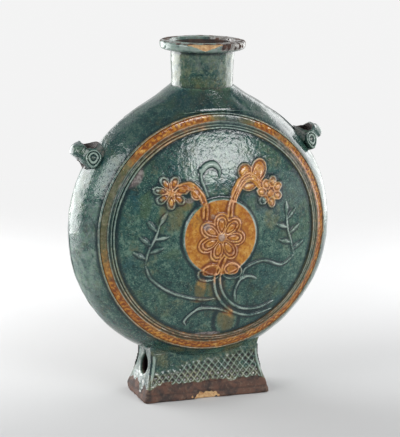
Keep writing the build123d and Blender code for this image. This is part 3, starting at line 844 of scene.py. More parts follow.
curl_stem_shares = [(-0.145, 0.394), (-0.174, 0.486), (-0.197, 0.556), (-0.191, 0.640)]
curl_leaf_shares = [(-0.191, 0.630), (-0.139, 0.677), (-0.070, 0.688), (-0.020, 0.640), (-0.017, 0.579)]
tendril_shares = [
    [(-0.729, -0.255), (-0.660, -0.394), (-0.463, -0.532), (-0.208, -0.608), (-0.040, -0.612)],
    [(0.220, -0.405), (0.255, -0.318), (0.440, -0.266), (0.648, -0.330), (0.787, -0.255)],
    [(0.382, -0.446), (0.300, -0.408), (0.210, -0.430), (0.156, -0.544), (0.174, -0.660)],
    [(-0.295, -0.880), (-0.318, -0.820), (-0.197, -0.712), (-0.020, -0.716), (0.120, -0.768)],
]
left_spray_shares = [(-0.729, -0.240), (-0.705, -0.120), (-0.640, 0.020), (-0.600, 0.150)]
right_spray_shares = [(0.787, -0.240), (0.745, -0.110), (0.700, 0.040), (0.690, 0.180)]

# Roots of the spray leaves in the same shares, with directions in degrees
left_spray_leaves = [
    ((-0.722, -0.190), 150.0), ((-0.700, -0.130), 20.0), ((-0.678, -0.060), 140.0),
    ((-0.655, 0.000), 10.0), ((-0.628, 0.070), 130.0), ((-0.606, 0.130), 60.0),
]
right_spray_leaves = [
    ((0.770, -0.190), 30.0), ((0.748, -0.120), 165.0), ((0.722, -0.030), 35.0),
    ((0.705, 0.030), 160.0), ((0.692, 0.110), 45.0), ((0.690, 0.150), 92.0),
]


def draw_disc():
    """The plateau behind the middle flower, with a thin raised line at its edge."""
    away = away_from(disc_centre)
    line_radius, half_width, line_height = disc_line
    plateau = disc_rise * smooth(disc_radius + 0.9, disc_radius - 0.5, away)
    return plateau + ridge(np.abs(away - line_radius), half_width, line_height)


def draw_calyx():
    """Scalloped outline round the middle flower."""
    insets = [petal_inset(disc_centre, direction, reach + calyx_overhang, *calyx_petal)[0]
              for direction, reach in middle_petals]
    return outlined(np.max(insets, axis=0), *calyx_relief)


def draw_petals():
    """Petals of the middle flower, each with a raised edge and a domed middle."""
    petals = [petal_inset(disc_centre, *petal, *middle_petal) for petal in middle_petals]
    return np.max([outlined(inset, *middle_relief) * (0.7 + 0.3 * out) for inset, out in petals], axis=0)


def draw_boss(centre, reach, height):
    """Round middle of a flower, lightly hatched."""
    away = away_from(centre)
    hatch = 0.12 * np.sin(3.6 * (grid_x + grid_y)) * np.sin(3.6 * (grid_x - grid_y))
    body = height * np.sqrt(smooth(reach + 0.3, reach - 1.4, away)) + hatch * smooth(reach, reach - 1.0, away)
    return np.where(away < reach + 0.3, body, 0.0)


def draw_drop_flower(centre, petals):
    """A smaller flower of drop-shaped petals, each with a raised edge and a small bead in it."""
    inward, bead_half, bead_height = drop_bead
    layers = []
    for direction, reach in petals:
        inset, _ = petal_inset(centre, direction, reach, *drop_petal)
        away = away_from(along_from(centre, reach - inward, direction))
        layers += [outlined(inset, *drop_relief), ridge(away, bead_half, bead_height)]
    return np.max(layers, axis=0)


def draw_ball_flower(centre, petals):
    """A smaller flower whose petals end in balls with raised edges."""
    inward, ball_half, ball_height = ball_bead
    ring_radius, ring_half, ring_height = ball_ring
    layers = []
    for direction, reach in petals:
        u, v = turned_grid(centre, direction)
        away = np.hypot((u - reach + inward) / ball_stretch, v)
        ball = np.maximum(ridge(away - ring_radius, ring_half, ring_height),
                          ridge(away, ball_half, ball_height))
        inset, out = petal_inset(centre, direction, reach, *ball_petal)
        drop = outlined(inset, *ball_relief) * smooth(1.05, 0.6, out)
        layers += [np.where(away < ball_reach, ball, 0.0), drop]
    return np.max(layers, axis=0)


def draw_leaf(centre, length, half_width, turn, height=1.05, fill=0.7):
    """A pointed leaf with a raised edge."""
    inset, _ = lens_inset(centre, length, half_width, turn)
    return outlined(inset, 0.6, height, 1.2, max(2.0, half_width * 0.8), fill)


def draw_spray(stem, leaves):
    """A stem with slender leaves on both sides, each with a ridge down it."""
    field = draw_curves([stem], *spray_line, start_taper=0.15, end_taper=0.3)
    for root, direction in leaves:
        centre = along_from(on_panel([root])[0], spray_leaf_length / 2, direction)
        inset, across = lens_inset(centre, spray_leaf_length, spray_leaf_half_width, direction)
        leaf = 0.95 * np.sqrt(smooth(0.0, 1.5, inset)) + ridge(across, 0.5, 0.3) * (inset > 0.3)
        field = np.maximum(field, np.where(inset > 0, leaf, 0.0))
    return field


def draw_curl():
    """A thin stem that ends in a curled leaf."""
    leaf = draw_curves([curl_leaf_shares], *curl_leaf_line, end_taper=0.5)
    return np.maximum(draw_curves([curl_stem_shares], *fine_line), leaf)


def draw_tendrils():
    """Tendrils that swing out from the main stems, with small leaf tips."""
    field = draw_curves(tendril_shares, *fine_line, start_taper=0.12, end_taper=0.1)
    tips = (draw_leaf(*tip, height=1.2, fill=1.2) for tip in (((19.0, -36.2), 5.6, 1.5, -8),
                                                            ((-15.5, -60.7), 8.0, 1.6, 14)))
    return np.maximum.reduce([field, *tips])


def draw_branch(paths, band, half_width):
    """Thin ridges along a stem over a low flat band."""
    low = draw_curves([band], half_width, 1.0, start_taper=0.2)
    return np.maximum(draw_curves(paths, *branch_line), band_height * smooth(0.0, 0.45, low))


def draw_left_leaves():
    """The eye-shaped leaf and the bud under the left branch."""
    return np.maximum(draw_leaf((-33.0, 39.5), 13.0, 3.4, 4), outlined(oval_inset(*left_bud), *bud_relief))


def draw_right_leaves():
    """The leaf under the right arch and the two above it."""
    arch = draw_leaf((24.4, 40.2), 15.8, 4.2, 5)
    inner = oval_inset(*fan_inner)
    return np.maximum.reduce([arch, outlined(oval_inset(*fan_leaf), *fan_relief),
                              ridge(inner - 0.5, 0.45, 1.3) * (inner > 0),
                              outlined(oval_inset(*near_leaf), *near_relief)])


def draw_sepals():
    """The pair of cupped leaves where the stems leave the disc, over a second, lower edge."""
    layers = []
    for centre, across, turn in sepals:
        edge_centre = (centre[0] * 1.12, centre[1] - 2.6)
        layers += [outlined(oval_inset(edge_centre, across + 2.4, 6.8, turn), *sepal_edge_relief),
                   outlined(oval_inset(centre, across, sepal_half_height, turn), *sepal_relief)]
    return np.max(layers, axis=0)


drawings = {
    "calyx": draw_calyx(),
    "sepals": draw_sepals(),
    "left_leaves": draw_left_leaves(),
    "right_leaves": draw_right_leaves(),
    "left_branch": draw_branch(left_branch_shares, left_band_shares, 3.0),
    "right_branch": draw_branch(right_branch_shares, right_band_shares, 4.0),
    "left_flower": draw_drop_flower(left_flower_centre, left_petals),
    "right_flower": draw_ball_flower(right_flower_centre, right_petals),
    "side_bosses": np.maximum(draw_boss(left_flower_centre, 3.0, 1.4),
                              draw_boss(right_flower_centre, 3.4, 1.5)),
    "petals": draw_petals(),
    "main_stems": draw_curves(main_stem_shares, *stem_line, end_taper=0.12),
    "curl_sprig": draw_curl(),
    "tendrils": draw_tendrils(),
    "left_spray": draw_spray(left_spray_shares, left_spray_leaves),
    "right_spray": draw_spray(right_spray_shares, right_spray_leaves),
    "boss": draw_boss(disc_centre, 3.2, 1.7),
}

# Heights and regions of the whole panel

relief_scale = 1.12
relief_softening = 0.62
piece_height = 0.12
layers = np.array(list(drawings.values()))
panel_height = soften(draw_disc() + relief_scale * layers.max(0), relief_softening)


def cell_mean(field):
    """Mean of each cell's four corners."""
    return (field[:-1, :-1] + field[:-1, 1:] + field[1:, :-1] + field[1:, 1:]) / 4


cell_heights = np.array([cell_mean(layer) for layer in layers])
cell_top = np.where(cell_heights.max(0) > piece_height, cell_heights.argmax(0), -1)
cell_disc = cell_mean(away_from(disc_centre)) < disc_radius + 0.6
cell_panel = cell_mean(away_from((0.0, 0.0))) < panel_radius + 0.6

# Marks of the panel

amber_strengths = {
    "calyx": 1.0, "petals": 0.95, "boss": 0.75, "sepals": 0.86, "right_flower": 0.72, "side_bosses": 1.0,
    "left_branch": 0.98, "right_branch": 1.0, "left_leaves": 0.85, "right_leaves": 0.88,
}

# Soft oval patches: place, half sizes, turn in degrees and strength
olive_patches = [
    (-42.0, 21.0, 12.0, 17.0, 6, 0.42), (-31.0, 28.0, 7.0, 6.0, 0, 0.50), (45.5, 14.0, 10.0, 15.0, 0, 0.30),
    (-16.5, -42.0, 6.2, 11.5, -6, 0.60), (-3.0, -44.0, 10.0, 13.0, 0, 0.42),
    (-15.0, -53.0, 11.0, 3.0, 4, 0.56),
    (9.0, -72.0, 8.6, 14.0, 8, 0.58), (27.0, 44.0, 15.0, 11.0, 20, 0.40), (33.0, -20.0, 6.0, 9.0, 0, 0.25),
    (4.0, 37.0, 9.0, 8.0, 0, 0.22), (48.0, 60.0, 12.0, 8.0, -40, 0.26), (-60.0, -20.0, 9.0, 14.0, 0, 0.24),
    (-40.0, -60.0, 14.0, 8.0, 30, 0.26), (45.0, -52.0, 14.0, 9.0, 40, 0.24),
]
pool_patches = [
    (-52.0, 62.0, 10.0, 7.0, 0, 0.5), (11.0, -12.4, 4.0, 4.4, 0, 0.75), (-10.0, -9.0, 4.4, 3.4, 0, 0.6),
    (-9.0, -28.0, 5.4, 3.6, 0, 0.9), (9.0, -27.4, 4.6, 3.4, 0, 0.45), (33.0, 26.0, 5.0, 7.0, 0, 0.7),
    (20.0, 33.5, 8.0, 3.6, 0, 0.55),
]
mist_patches = [
    (-70.5, 50.0, 6.5, 10.5, -38, 0.9), (-6.0, -85.0, 13.0, 2.2, 0, 0.8), (-14.4, 9.8, 3.4, 3.6, 0, 0.85),
    (-8.6, 17.6, 2.4, 2.8, 0, 0.6), (-27.5, 31.0, 4.6, 2.4, 0, 0.6),
]

# Ovals without a strength of their own
disc_worn_patch = (-22.0, 13.0, 7.0, 8.0, 30)
teal_petal_patch = (35.6, 27.4, 3.6, 3.6)
amber_drop = ((9.0, -74.0), 12.0, 16.0, 8)


def patch(x, y, across, up, turn=0.0):
    """A soft oval patch on the panel, 1 at its middle."""
    return smooth(1.25, 0.55, 1.0 - oval_inset((x, y), across, up, turn) / min(across, up))


def with_patches(field, patches, share=1.0):
    """A field raised by patches wherever they are stronger."""
    return np.maximum.reduce([field] + [strength * share * patch(*oval) for *oval, strength in patches])


def drawn(name, spread=2.2, least=0.15, share=1.0):
    """Where a drawing stands up from the panel, with a soft edge."""
    return soften((drawings[name] > least) * share, spread)


def panel_amber():
    """How much amber glaze lies on each place of the panel."""
    disc = smooth(disc_radius - 0.4, disc_radius - 2.0, away_from(disc_centre))
    amber = disc * (1.0 - 0.3 * patch(*disc_worn_patch))
    for name, strength in amber_strengths.items():
        amber = np.maximum(amber, strength * drawn(name))
    inner = smooth(12.0, 7.0, away_from(left_flower_centre))
    right_side = smooth(-52.0, -43.0, grid_x)
    amber = np.maximum(amber, drawn("left_flower") * (0.34 + 0.34 * inner + 0.30 * right_side))
    amber = amber * (1.0 - 0.85 * patch(*teal_petal_patch)) * (1.0 - 0.7 * smooth(-30.5, -33.0, grid_y))
    stems = drawn("main_stems", 2.0, share=smooth(-52.0, -34.0, grid_y))
    streaks = 0.80 + 0.15 * waves(np.stack([grid_x, 0 * grid_x, 0.35 * grid_y], -1), 8.0, 42)
    return with_patches(np.maximum(amber, 0.85 * stems), olive_patches, streaks)


def panel_marks():
    """Marks of the glaze over the whole panel: ridge tops paler as thinned glaze and painted highlight,
    hollows and the ring's inner edge darker as pooled glaze and painted shade.
    """
    fine = soften(panel_height, 2.0)
    wide = soften(panel_height, 5.0)
    crest = np.maximum(smooth(0.03, 0.20, panel_height - fine),
                       0.75 * smooth(0.12, 0.60, panel_height - wide))
    uneven = waves(np.stack([grid_x, grid_y, 0 * grid_x], -1), 16.0, 41)
    crest = crest * (0.55 + 0.45 * smooth(-0.6, 0.8, uneven))
    drop_edge = ridge(oval_inset(*amber_drop) - 0.6, 2.4, 1.0) * smooth(-58.0, -66.0, grid_y)
    # Painted shade: darker next to the ring's inner edge
    edge = 0.95 * smooth(81.8, 85.4, away_from((0.0, 0.0)))
    pool = np.maximum.reduce([smooth(0.03, 0.18, fine - panel_height),
                              smooth(0.05, 0.36, wide - panel_height), edge, drop_edge])
    mist = with_patches(0.8 * drawn("boss", 1.2, 0.1), mist_patches)
    return make_marks(grid_x.size, amber=panel_amber(), crest=crest, pool=with_patches(pool, pool_patches),
                      mist=mist)


# Surfaces of the panel


def relief_normals(depth, step):
    """Outward normals of a relief that faces the front."""
    slope_up, slope_across = np.gradient(depth, step)
    return unit(np.stack([-slope_across, -np.ones_like(depth), -slope_up], -1))


panel_depth = dome_at(grid_x, grid_y) + panel_height
panel_top = np.stack([grid_x, -panel_depth, grid_y + body_centre], -1)
panel_under = np.stack([grid_x, -(dome_at(grid_x, grid_y) - skirt), grid_y + body_centre], -1)
panel_layers = (relief_normals(panel_depth, grid_step), panel_marks())


def add_panel_piece(label, cells, slot):
    """A piece over some cells of the panel, front and back."""
    add_pair("{}_" + label, slot, *plate(panel_top, panel_under, cells, *panel_layers))


# Pressed halves

neck_hole = 23.0
skin_start = 12.0
skin_end = 84.0
inner_flank_share = 0.86
inner_clearance = 0.3
shell_steps = 420


def angle_round(points):
    """Direction of each point round the panel's centre, in degrees from +x."""
    return np.degrees(np.arctan2(points[:, 2] - body_centre, points[:, 0] * -np.sign(points[:, 1]))) % 360.0


def seat_point(share, rise):
    """A point over the ring's seat as radius and depth."""
    length = math.hypot(ring_run, ring_drop)
    return (panel_radius + ring_run * share + rise * ring_drop / length,
            ring_inner_depth - ring_drop * share + rise * ring_run / length)


def front(profile):
    """Profile of radius and depth turned to the front, where depth is -Y."""
    return [(reach, -depth) for reach, depth in profile]


def shell_blocks():
    """Profile of a pressed half: outside, middle plane and inside."""
    outer = [(0.05, dome_depth - skirt)]
    outer += [(r, dome_at(r, 0.0) - skirt) for r in np.linspace(skin_start, skin_end, 7)]
    seat = [outer[-1], (panel_radius - 0.8, ring_inner_depth + 0.1)]
    seat += [seat_point(share, 0.0) for share in np.linspace(0.0, 1.0, 9)]
    flank_depths = ring_outer_depth * np.sin(np.linspace(math.pi / 2, 0.0, 34))
    flank = [(flank_radius_at(d), d) for d in flank_depths]
    edge = [(body_radius, 0.0), (body_radius - wall, 0.0)]
    inner_depths = inner_flank_share * flank_depths[::-3]
    inner = [(flank_radius_at(d) - wall, d) for d in inner_depths]
    inner += [(r, dome_at(r, 0.0) - wall - inner_clearance) for r in np.linspace(skin_end - 2.0, 0.05, 14)]
    rest = [(0.05, dome_depth - wall - inner_clearance), outer[0]]
    return [front(block) for block in (outer, seat, flank, edge, inner, rest)]


def shape_flank(grid):
    """Hand-made unevenness of the flank."""
    near = (reach_round_body(grid) > ring_outer_radius - 7.0)[..., None]
    return grid - near * flank_normal(grid) * body_wobble(grid)[..., None]


def flank_marks(points):
    """Marks of the glaze on the flank: painted shade beside the ring and towards the shoulder, a painted
    sheen on the left, and bare clay inside, painted dark as shade.
    """
    reach, depth = reach_round_body(points), np.abs(points[:, 1])
    outside = reach > flank_radius_at(np.minimum(depth, ring_outer_depth)) - 2.0
    inside = ~outside & (reach > 20.0) & (depth < ring_outer_depth - 0.2)
    # Painted shade: darker beside the ring and towards the shoulder
    by_ring = 0.95 * smooth(ring_outer_depth - 3.4, ring_outer_depth - 0.4, depth)
    pool = np.maximum(by_ring, 0.62 * smooth(180.0, 228.0, points[:, 2]))
    # Painted sheen: paler on the left side, except low down
    left = smooth(84.0, 104.0, points[:, 0] * np.sign(points[:, 1]))
    amber = 0.40 * smooth(95.0, 35.0, points[:, 2]) * smooth(-0.4, 0.9, waves(points, 30.0, 51))
    return make_marks(len(points), amber=amber, pool=pool * outside, bare=0.95 * inside, dark=0.7 * inside,
                      pale=0.34 * left * smooth(40.0, 80.0, points[:, 2]) * outside)


def add_shells(slot):
    """The two pressed halves, each with the open skin of its panel."""
    points, quads, marks, normals = turned_blocks(shell_blocks(), shell_steps, "y", shape_flank, flank_marks)
    middle = points[quads].mean(1)
    in_neck = (reach_round_neck(middle) < neck_hole) & (middle[:, 2] > body_centre)
    cells = cell_panel & ~cell_disc & (cell_top < 0)
    skin = plate(panel_top, panel_under + np.array([0.0, 0.6, 0.0]), cells, *panel_layers, closed=False)
    add_pair("{}_shell", slot, *joined(compact(points, quads[~in_neck], marks, normals), skin))


# Rings round the panels

ring_steps = 540

# How amber the band is round the panel: direction in degrees and strength
amber_round = np.array([
    (0, 0.80), (30, 0.80), (45, 0.72), (55, 0.62), (63, 0.92), (72, 0.50), (80, 0.15), (90, 0.35), (97, 0.95),
    (120, 1.00), (132, 0.85), (142, 0.45), (155, 0.34), (175, 0.36), (190, 0.55), (210, 0.80), (240, 0.95),
    (270, 1.00), (300, 0.95), (330, 0.70), (345, 0.70), (360, 0.80),
])

# Profile of the band: share of the way out and height
band_rise = np.array([
    (0.145, 0.30), (0.19, 0.75), (0.25, 1.45), (0.31, 0.80), (0.36, 0.55), (0.41, 1.10), (0.455, 1.60),
    (0.52, 1.30), (0.62, 1.10), (0.74, 1.15), (0.82, 1.30), (0.84, 1.05), (0.855, 0.60),
])

# Beads and band: node, where each starts and ends, height of a bead, finish
rings = [
    ("inner_bead", -0.02, 0.145, 1.6, "teal_glaze"),
    ("ring_band", 0.145, 0.855, 0.0, "amber_glaze"),
    ("outer_bead", 0.855, 1.01, 1.7, "teal_glaze"),
]

# Tops of the rings, paler as worn glaze and painted highlight, and grooves, darker as pooled glaze and
# painted shade: share of the way out, half width and strength
ring_crests = [(0.105, 0.05, 0.75), (0.955, 0.045, 0.75), (0.25, 0.04, 0.8), (0.45, 0.045, 0.7)]
ring_pools = [(0.18, 0.04, 0.95), (0.36, 0.06, 0.9), (0.52, 0.03, 0.8), (0.90, 0.03, 0.8), (0.02, 0.03, 0.9)]


def shape_ring(grid):
    """Slight hand-made waver of the rings."""
    waver = 0.16 * waves(grid, 34.0, 61) + 0.07 * waves(grid, 9.0, 62)
    return grid + np.stack([0 * waver, np.sign(grid[..., 1]) * (waver - 0.16), 0 * waver], -1)


def ring_marks(points):
    """Marks of the glaze on the beads and the band, with a painted glare on the upper right, paler tops,
    darker grooves and a darker bottom.
    """
    share = (reach_round_body(points) - panel_radius) / ring_run
    turn = angle_round(points)
    strength = np.interp(turn, *amber_round.T)
    band = smooth(0.45, 0.52, share) * smooth(0.94, 0.88, share)
    low = smooth(225.0, 245.0, turn) * smooth(318.0, 300.0, turn)
    # Painted highlight: a pale glare on the upper right of the ring, laid through the mist mark
    glare = smooth(10.0, 22.0, turn) * smooth(62.0, 50.0, turn) * smooth(0.60, 0.40, share) * (share > 0.16)
    speckle = smooth(-0.7, 0.4, waves(points, 2.2, 63))
    pool = np.maximum.reduce([lines_over(share, ring_pools), 0.5 * low * smooth(0.50, 0.42, share),
                              speckle * ridge(share - 0.70, 0.27, 1.0) * smooth(0.45, 0.75, strength)])
    return make_marks(len(points), amber=strength * (0.5 + 0.5 * band), pool=pool,
                      crest=lines_over(share, ring_crests) * (1.0 - 0.45 * low),
                      mist=0.5 * (1.0 - strength) * smooth(0.40, 0.50, share) + 0.5 * glare)


def ring_profile(low, high, rise):
    """A rounded bead of that rise, or the ribbed band if it has none."""
    run = []
    for share in np.linspace(0.0, 1.0, 41):
        place = low + (high - low) * share
        if rise:
            bulge = rise * (1.0 - abs(2.0 * share - 1.0) ** 2.4) ** 0.7
        else:
            bulge = np.interp(place, *band_rise.T)
        run.append(seat_point(place, bulge - 0.05))
    under = [run[-1], seat_point(high, -1.0), seat_point(low, -1.0), run[0]]
    return [front(run), front(under)]


def add_rings():
    """Inner bead, band and outer bead."""
    for label, low, high, rise, slot in rings:
        ring = turned_blocks(ring_profile(low, high, rise), ring_steps, "y", shape_ring, ring_marks)
        add_pair("{}_" + label, slot, *ring)


# Neck, rim and collar

neck_radius = 25.8
neck_top_radius = 27.0
neck_bore_radius = 20.5
neck_base = 262.5
neck_bottom = 236.0
neck_skirt_top = 240.0
rim_underside = 291.4
mouth_radius = 25.2
neck_steps = 200
rim_steps = 360
chip_angle = -105.0
chip_half_angle = 22.0

# Section of the rim from its underside round the edge to the mouth: radius and height
rim_section = [
    (neck_top_radius, rim_underside), (29.5, 291.9), (32.4, 292.5), (34.4, 293.3), (35.5, 294.3),
    (35.9, 295.6), (36.0, 297.0), (35.95, 298.2), (35.6, 299.1), (34.9, 299.65), (34.0, 299.85),
    (32.0, 299.6), (30.0, 299.3),
    (28.6, 299.25), (27.6, 299.5), (26.9, 299.95), (26.2, 299.9), (25.6, 299.3), (mouth_radius, 298.2),
    (24.3, 296.6), (22.7, 294.2), (21.2, 292.3), (neck_bore_radius, rim_underside),
]


def shape_neck(grid):
    """Hand-made unevenness of the neck's outside."""
    outside = reach_round_neck(grid) > neck_radius - 2.0
    uneven = 0.28 * waves(grid, 30.0, 71) + 0.09 * waves(grid, 7.0, 72)
    return grid + level_out(grid) * (uneven * outside)[..., None]


def neck_marks(points):
    """Marks of the glaze on the neck, with painted shade at its base and under the rim, and bare clay in its
    bore, painted dark as shade.
    """
    z = points[:, 2]
    outside = reach_round_neck(points) > neck_radius - 2.0
    # Painted shade: darker at the neck's base and just under the rim
    crease = np.maximum(0.8 * smooth(neck_base + 2.6, neck_base + 0.4, z),
                        smooth(rim_underside - 2.8, rim_underside - 0.2, z))
    thin = smooth(-0.2, 1.1, waves(points, 24.0, 73))
    return make_marks(len(points), pool=crease * outside, pale=0.30 * thin * outside, amber=0.22 * outside,
                      bare=1.0 * ~outside, dark=0.85 * ~outside)


def add_neck(slot):
    """The neck, a turned tube that widens a little to the rim."""
    skirt_radius = neck_radius + 0.5
    outer = [(skirt_radius, neck_skirt_top), (neck_radius, neck_base)]
    outer += [(neck_radius + (neck_top_radius - neck_radius) * t**1.6 - 0.25 * math.sin(math.pi * t),
               neck_base + (rim_underside - neck_base) * t) for t in np.linspace(0.05, 1.0, 24)]
    top = [(neck_top_radius, rim_underside), (neck_bore_radius, rim_underside)]
    bore = [(neck_bore_radius, z) for z in np.linspace(rim_underside, neck_bottom, 12)]
    low = [(neck_bore_radius, neck_bottom), (skirt_radius, neck_bottom), (skirt_radius, neck_skirt_top)]
    neck = turned_blocks([outer, top, bore, low], neck_steps, "z", shape_neck, neck_marks)
    add_piece("looks_neck", ["neck"], slot, *neck)


def around_neck(points):
    """Direction of each point round the upright axis, in degrees."""
    return np.degrees(np.arctan2(points[..., 1], points[..., 0]))


def chip_share(points):
    """How much of the rim's edge is chipped away at a point, 0 to 1."""
    turn = (around_neck(points) - chip_angle + 180.0) % 360.0 - 180.0
    ragged = 2.4 * waves(points, 9.0, 81) + 0.9 * waves(points, 3.0, 82)
    along = np.clip(1.0 - np.abs(turn + ragged) / chip_half_angle, 0.0, 1.0)
    low = rim_top - 0.6 - 5.4 * along
    side = smooth(low - 0.5, low + 0.5, points[..., 2])
    side = side * smooth(29.2, 30.6, reach_round_neck(points) + 0.5 * ragged)
    return side * (along > 0.0)


def shape_rim(grid):
    """Waver, nicks and the chip of the rim."""
    reach, z = reach_round_neck(grid), grid[..., 2]
    edge = smooth(28.0, 35.0, reach)
    nicks = smooth(0.75, 1.7, waves(grid, 6.0, 83)) * smooth(33.0, 35.4, reach)
    chip = chip_share(grid)
    inward = edge * (0.35 + 0.35 * waves(grid, 30.0, 84)) + 0.7 * nicks + 1.1 * chip
    drop = edge * (0.25 + 0.25 * waves(grid, 34.0, 85)) * smooth(296.0, 299.0, z)
    drop = drop + 0.8 * chip * smooth(298.0, 299.6, z)
    grid = grid - level_out(grid) * np.maximum(inward, 0.0)[..., None]
    grid[..., 2] -= np.maximum(drop, 0.0)
    return grid


def rim_marks(points):
    """Marks of the glaze and the worn clay on the rim, with a painted highlight on the lip and outer edge,
    and painted shade under it and inside the mouth.
    """
    reach, z, turn = reach_round_neck(points), points[:, 2], around_neck(points)
    flat = smooth(298.2, 299.2, z)
    worn_side = smooth(-92.0, -80.0, turn) * smooth(80.0, 40.0, turn)
    spots = smooth(-0.5, 0.9, waves(points, 7.0, 86))
    # Painted highlight: the lip and the outer edge are paler
    lip = ridge(reach - 26.4, 0.9, 1.0) * smooth(298.8, 299.4, z)
    inside = smooth(mouth_radius + 0.2, mouth_radius - 1.0, reach)
    bare = np.maximum.reduce([flat * (0.40 + 0.45 * spots), 0.35 * spots,
                              worn_side * (0.34 + 0.5 * spots) * smooth(292.5, 296.0, z)])
    bare = np.maximum(bare * (1 - lip), inside)
    # Painted shade: darker under the rim, and near-black inside the mouth
    pool = smooth(293.6, 291.9, z) * (reach > neck_top_radius - 0.5)
    return make_marks(len(points), bare=bare, chip=chip_share(points), dark=0.75 * inside, amber=0.14,
                      mist=np.maximum(0.75 * bare * flat, 0.85 * worn_side * smooth(292.5, 295.0, z)),
                      crest=np.maximum(lip, ridge(reach - 35.8, 0.8, 0.6)), pool=pool, pale=0.6 * (1 - bare))


def add_rim(slot):
    """The flat rim round the mouth, with rounded edges and a thin inner lip."""
    under = [(neck_bore_radius, rim_underside), (neck_top_radius, rim_underside)]
    rim = turned_blocks([under, curve_points(rim_section, 0.5)], rim_steps, "z", shape_rim, rim_marks)
    add_piece("looks_rim", ["rim"], slot, *rim)


collar_steps = 300
collar_rows = 26
collar_half_width = 68.0
collar_thickness = 2.5


def collar_marks(points, share):
    """Marks of the glaze on the collar, at a share of the way down it: a painted highlight along the crease,
    and painted shade below it and beside the ring.
    """
    # Breakup of the painted highlight along the crease
    wear_and_highlight = smooth(-0.2, 0.8, waves(points, 12.0, 91))
    by_ring = smooth(ring_outer_depth - 4.0, ring_outer_depth - 0.6, np.abs(points[:, 1]))
    pool = np.maximum(0.9 * by_ring * smooth(0.7, 0.95, share), 0.62 * smooth(0.0, 0.12, share))
    return make_marks(len(points), crest=0.7 * smooth(0.05, 0.0, share) * wear_and_highlight, pool=pool,
                      amber=0.08 * smooth(0.3, 0.0, share))


def add_collar(slot):
    """Clay smoothed from the neck down over the shoulders."""
    angle = full_turn(collar_steps)
    forward = np.abs(np.sin(angle))
    crease_radius = neck_radius + 0.9 - 1.3 * smooth(0.8, 0.97, forward)
    top = np.stack([crease_radius * np.cos(angle), crease_radius * np.sin(angle), neck_base + 0 * angle], -1)
    foot = body_point(collar_half_width * np.cos(angle), (ring_outer_depth - 0.35) * np.sin(angle))
    normal = flank_normal(foot)
    over_ring = smooth(0.86, 0.98, forward)
    foot = foot + np.stack([0 * angle, 1.9 * np.sign(np.sin(angle)) * over_ring, 1.2 * over_ring], -1)
    span = foot - top
    length = np.linalg.norm(span, axis=-1, keepdims=True)
    along = unit(span - normal * np.einsum("ij,ij->i", span, normal)[:, None])
    first = top + span * 0.33 - np.array([0.0, 0.0, 0.6])
    last = foot - along * length * (0.36 - 0.24 * over_ring)[:, None]
    t = np.linspace(0.0, 1.0, collar_rows)[:, None, None]
    skin = ((1 - t) ** 3 * top + 3 * (1 - t) ** 2 * t * first + 3 * (1 - t) * t * t * last + t**3 * foot)
    skin = skin - flank_normal(skin) * (body_wobble(skin) * smooth(0.0, 0.35, t[..., 0]))[..., None]
    skin = skin + flank_normal(skin) * (0.5 * smooth(1.0, 0.8, t[..., 0]) - 0.25)[..., None]
    neck_side = top - np.array([0.0, 0.0, 1.6]) - level_out(top) * 3.0
    under = np.stack([skin[-1], skin[-1] - normal * collar_thickness, neck_side, skin[0]])
    share = np.repeat(t[:, 0, 0], collar_steps)
    collar = joined(grid_mesh(skin, collar_marks(skin.reshape(-1, 3), share)),
                    grid_mesh(under, collar_marks(under.reshape(-1, 3), 0.0)))
    add_piece("looks_collar", ["shoulder_collar"], slot, *closed_mesh(*collar))


# Lugs, worked as fields in their own directions: out from the flank, through it and up it

lug_step = 0.5
lug_angles = {"left": 33.0, "right": 37.0}
lug_seeds = {"left": 101, "right": 131}
lug_brown_strengths = {"left": 0.36, "right": 0.16}
lug_low = np.array([-6.8, -23.6, -14.0])
lug_high = np.array([18.6, 23.6, 14.6])
lug_root = 6.0
lug_reach = 17.0
lug_half_height = 12.0
lug_outline = [
    (0.0, -lug_half_height), (-lug_root, -lug_half_height), (-lug_root, lug_half_height),
    (0.0, lug_half_height),
    (1.5, 11.6), (6.0, 9.9), (11.2, 7.3), (13.9, 5.4), (16.2, 2.4), (lug_reach, -1.0), (16.8, -4.1),
    (15.3, -6.1), (12.6, -6.8), (9.5, -7.6), (6.0, -9.6), (2.0, -11.6),
]
lug_root_half_depth = 19.6
lug_cheek_reach = 12.0
lug_cheek_half_depth = 9.0
lug_nose_half_depth = 4.2
lug_chin_half_depth = 5.0
lug_chin_top = -3.0
cheek_slope = (lug_root_half_depth - lug_cheek_half_depth) / (lug_cheek_reach + lug_root)
nose_centre = np.array([11.8, 0.0, -2.0])
nose_radii = np.array([5.2, 8.4, 4.6])
nose_scale = 5.0
mouth_slope = 0.5
mouth_level = 12.6
mouth_sag = 2.5
lip_reach = 7.2
lip_radii = (6.6, 12.0)
lip_half_thickness = 0.75
eye_reach = 1.9
eye_up = 0.3
eye_radius = 6.5
eye_rows = 34
eye_steps = 80
eye_depth = 2.6

# Rings of an eye: share of its radius, half width and height or strength
eye_ridges = [(0.87, 0.12, 1.15), (0.54, 0.15, 1.25), (0.0, 0.22, 0.55)]
eye_crests = [(0.54, 0.15, 1.0), (0.87, 0.11, 0.8)]
eye_pools = [(0.71, 0.08, 1.0), (0.31, 0.10, 1.0)]


def lug_axes(side_name):
    """Origin, outward direction and up-the-flank direction of a lug."""
    side = -1.0 if side_name == "left" else 1.0
    angle = math.radians(lug_angles[side_name])
    out = np.array([side * math.cos(angle), 0.0, math.sin(angle)])
    up = np.array([-side * math.sin(angle), 0.0, math.cos(angle)])
    return body_middle + out * body_radius, out, up


